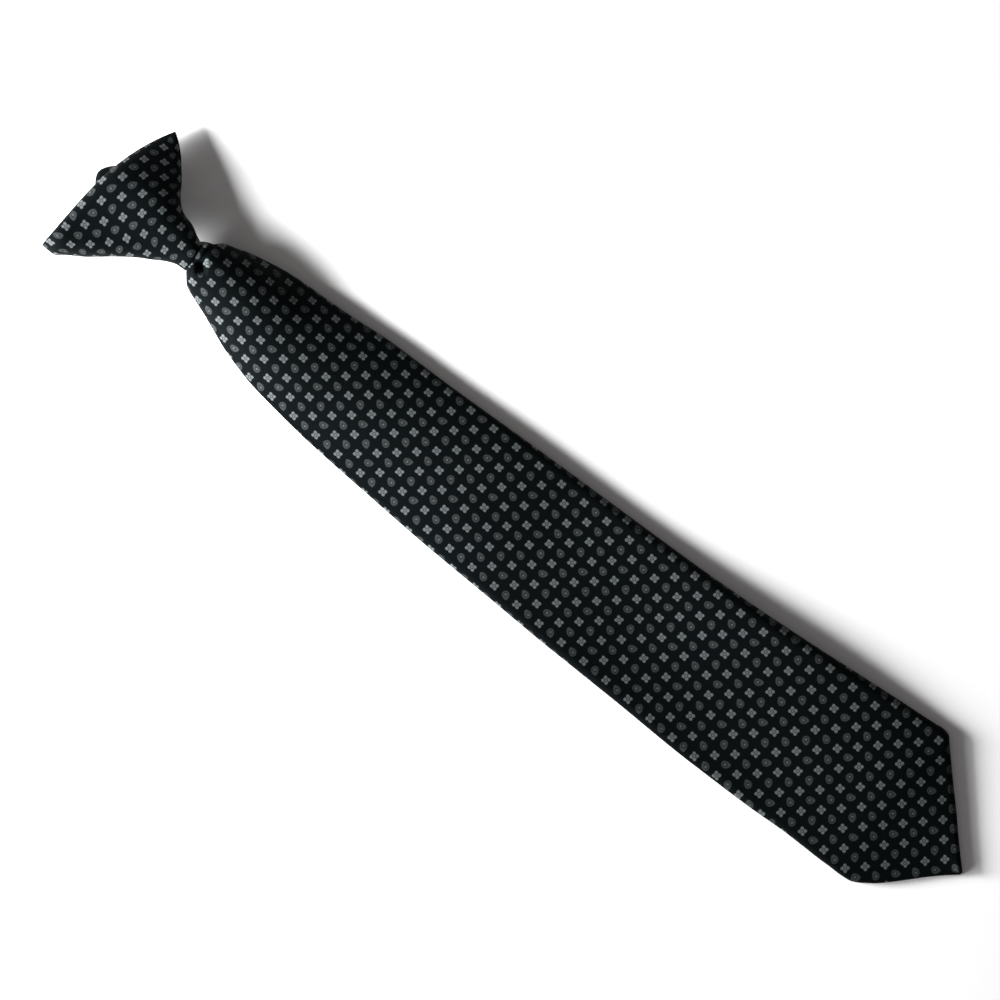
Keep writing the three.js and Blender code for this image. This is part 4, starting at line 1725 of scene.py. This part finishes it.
@dataclass
class Stitches:
    """The sewing thread at the back: stitches along the seam, a bar tack, and loops round the clip."""

    blade: Blade
    clip: Clip
    radius: float = 0.0002
    first: float = 0.036
    last: float = 0.316
    pitch: float = 0.01
    tack_stitches: int = 9
    tack_pitch: float = 0.00042
    slant: float = 0.0016
    bite: float = 0.0003
    reach: float = 0.0016
    bend_share: float = 0.4
    start_depth: float = 0.0004
    bend_depth: float = 0.0003
    end_height: float = 0.0006
    loops: int = 5
    loop_pitch: float = 0.00055
    loop_at: float = 0.0148
    loop_trim: float = 0.02
    loop_anchor: float = 0.4
    loop_slack: float = 0.8
    points: int = 25

    def along_seam(self) -> np.ndarray:
        """The slip stitches and the bar tack, each from the lower flap's edge to the upper flap beside it.

        Its middle line is the curve a (1 - t)^2 + 2 b t (1 - t) + c t^2 from the edge a past the point b to
        the flap c.

        Returns:
            Paths of shape (stitches, points, 3).
        """
        tack = self.last + self.tack_pitch * np.arange(self.tack_stitches)
        down = np.concatenate([np.arange(self.first, self.last, self.pitch), tack])
        slant = np.where(down < self.last, self.slant, 0.0)
        edge, base = self.blade.seam(down)
        beside = edge - 2.0 * self.bite
        x = np.stack([edge - self.bite, beside - self.bend_share * self.reach, beside - self.reach])
        y = -np.stack([down, down + 0.5 * slant, down + slant])
        z = np.stack([base - self.start_depth, base - self.bend_depth, base + self.end_height])
        start, bend, end = self.blade.place.world(x, y, z)[:, :, None]
        t = np.linspace(0.0, 1.0, self.points)[None, :, None]
        return start * (1.0 - t) ** 2 + 2.0 * bend * t * (1.0 - t) + end * t * t

    def over_bar(self) -> np.ndarray:
        """The loops that hold the clip's bar to the knot: lower halves of |y / a|^4 + |z / b|^4 = 1.

        Returns:
            Paths of shape (loops, points, 3).
        """
        clip = self.clip
        beside = self.loop_pitch * (np.arange(self.loops) - 0.5 * (self.loops - 1))
        x = np.concatenate([beside - self.loop_at, beside + self.loop_at])[:, None]
        angle = np.linspace(self.loop_trim, math.pi - self.loop_trim, self.points)[None, :]
        half_width = 0.5 * clip.bar_width + 2.0 * self.radius
        back = clip.knot.base + self.loop_anchor * clip.knot.wall
        hang = back - clip.plate_base + self.loop_slack * self.radius
        y = clip.top - clip.bar_drop + half_width * np.sign(np.cos(angle)) * np.sqrt(np.abs(np.cos(angle)))
        z = back - hang * np.sqrt(np.sin(angle))
        return clip.place.world(x, y, z)

    def build(self, finishes: Finishes) -> None:
        """Makes the stitches of the seam and those of the clip, and dresses them.

        Args:
            finishes: the scene's materials.
        """
        for name, slot, paths in (
            ("seam_stitches", "blade", self.along_seam()),
            ("clip_stitches", "knot", self.over_bar()),
        ):
            piece = thread_tubes(name, paths, self.radius)
            piece.data.materials.append(finishes.thread)
            settle(piece, slot)


@dataclass
class Stage:
    """The floor, the light and the camera."""

    place: Place
    floor_side: float = 9.0
    frame_side: float = 0.4365
    aim: tuple[float, float] = (-0.0028, 0.0167)
    turn: float = math.radians(-51.2)
    camera_height: float = 6.0
    sensor: float = 36.0
    face_height: float = 0.006
    sun_away: float = 3.0
    sun_strength: float = 2.2
    sun_angle: float = math.radians(26.0)
    sun_elevation: float = math.radians(24.5)
    sun_heading: float = math.radians(194.0)
    lamp_power: float = 22.5
    lamp_side: float = 0.3
    lamp_away: float = 0.6
    fill: float = 0.15
    fill_colour: Colour = (1.0, 0.965, 0.95, 1.0)
    backdrop: float = 0.9

    def seen(self, right: float, up: float) -> tuple[float, float]:
        """The scene's direction for one in the picture, given as parts to its right and upwards."""
        cosine, sine = math.cos(self.turn), math.sin(self.turn)
        return right * cosine - up * sine, right * sine + up * cosine

    def floor(self, material: bpy.types.Material) -> bpy.types.Object:
        """A flat square under the tie.

        Args:
            material: the floor's material.

        Returns:
            The floor, as part of the stage.
        """
        half = 0.5 * self.floor_side
        corners = np.array([[-half, -half, 0], [half, -half, 0], [half, half, 0], [-half, half, 0]], float)
        floor = new_mesh("floor", corners, np.array([[0, 1, 2, 3]]))
        floor.data.materials.append(material)
        return floor

    def camera(self) -> bpy.types.Object:
        """A long lens straight above, turned so that the tie lies as in the picture.

        Returns:
            The camera.
        """
        data = bpy.data.cameras.new("camera")
        data.sensor_width = self.sensor
        data.lens = data.sensor_width * (self.camera_height - self.face_height) / self.frame_side
        camera = bpy.data.objects.new("camera", data)
        camera.location = (*self.aim, self.camera_height)
        camera.rotation_euler = (0.0, 0.0, self.turn)
        bpy.context.scene.collection.objects.link(camera)
        bpy.context.scene.camera = camera
        return camera

    def lights(self) -> None:
        """Low soft light from the left of the picture: a broad far one, and a nearer one beside the knot."""
        across, up = math.cos(self.sun_heading), math.sin(self.sun_heading)
        way = self.seen(across, up)
        level, height = math.cos(self.sun_elevation), math.sin(self.sun_elevation)
        from_light = np.array([way[0] * level, way[1] * level, height])
        sun = bpy.data.lights.new("far_window", "SUN")
        sun.energy = self.sun_strength
        sun.angle = self.sun_angle
        self.aimed("far_window", sun, from_light * self.sun_away, np.zeros(3))
        lamp = bpy.data.lights.new("near_window", "AREA")
        lamp.energy = self.lamp_power
        lamp.size = self.lamp_side
        knot = np.array([self.place.centre, self.place.foot, 0.0])
        self.aimed("near_window", lamp, knot + from_light * self.lamp_away, knot)

    def aimed(self, name: str, light: bpy.types.Light, position: np.ndarray, target: np.ndarray) -> None:
        """Puts a light in place, turned towards a target and hidden from the camera.

        Args:
            name: the light's name.
            light: its settings.
            position: where it is.
            target: what it shines at.
        """
        lamp = bpy.data.objects.new(name, light)
        lamp.location = position
        away = Vector(position - target)
        lamp.rotation_euler = away.to_track_quat("Z", "Y").to_euler()
        lamp.visible_camera = False
        bpy.context.scene.collection.objects.link(lamp)

    def world(self) -> None:
        """A weak even fill, which the camera sees as a pale backdrop."""
        world = bpy.data.worlds.new("studio")
        world.use_nodes = True
        bpy.context.scene.world = world
        wiring = Wiring(world.node_tree)
        path = wiring.node("ShaderNodeLightPath")
        background = world.node_tree.nodes["Background"]
        background.inputs["Color"].default_value = self.fill_colour
        strength = wiring.blend(path.outputs["Is Camera Ray"], self.fill, self.backdrop)
        world.node_tree.links.new(strength, background.inputs["Strength"])

    def build(self, finishes: Finishes) -> None:
        """Sets the whole stage, with colours shown as they are.

        Args:
            finishes: the scene's materials.
        """
        self.floor(finishes.floor)
        self.camera()
        self.lights()
        self.world()
        bpy.context.scene.view_settings.view_transform = "Standard"


def main() -> None:
    """Builds the tie and its stage, piece by piece."""
    logging.basicConfig(level=logging.INFO, format="%(name)s: %(message)s")
    finishes = Finishes.mixed()
    place = Place.of_frame(BLADE_SECTIONS.rows[-1][0] * Blade.length + 0.5 * Blade.wall)
    Stage(place).build(finishes)
    knot = Knot(place)
    clip = Clip(place, knot)
    clip.build(finishes)
    knot.build(finishes)
    InnerFold(place, knot).build(finishes)
    blade = Blade(place, knot)
    blade.build(finishes)
    Stitches(blade, clip).build(finishes)


if __name__ == "__main__":
    main()
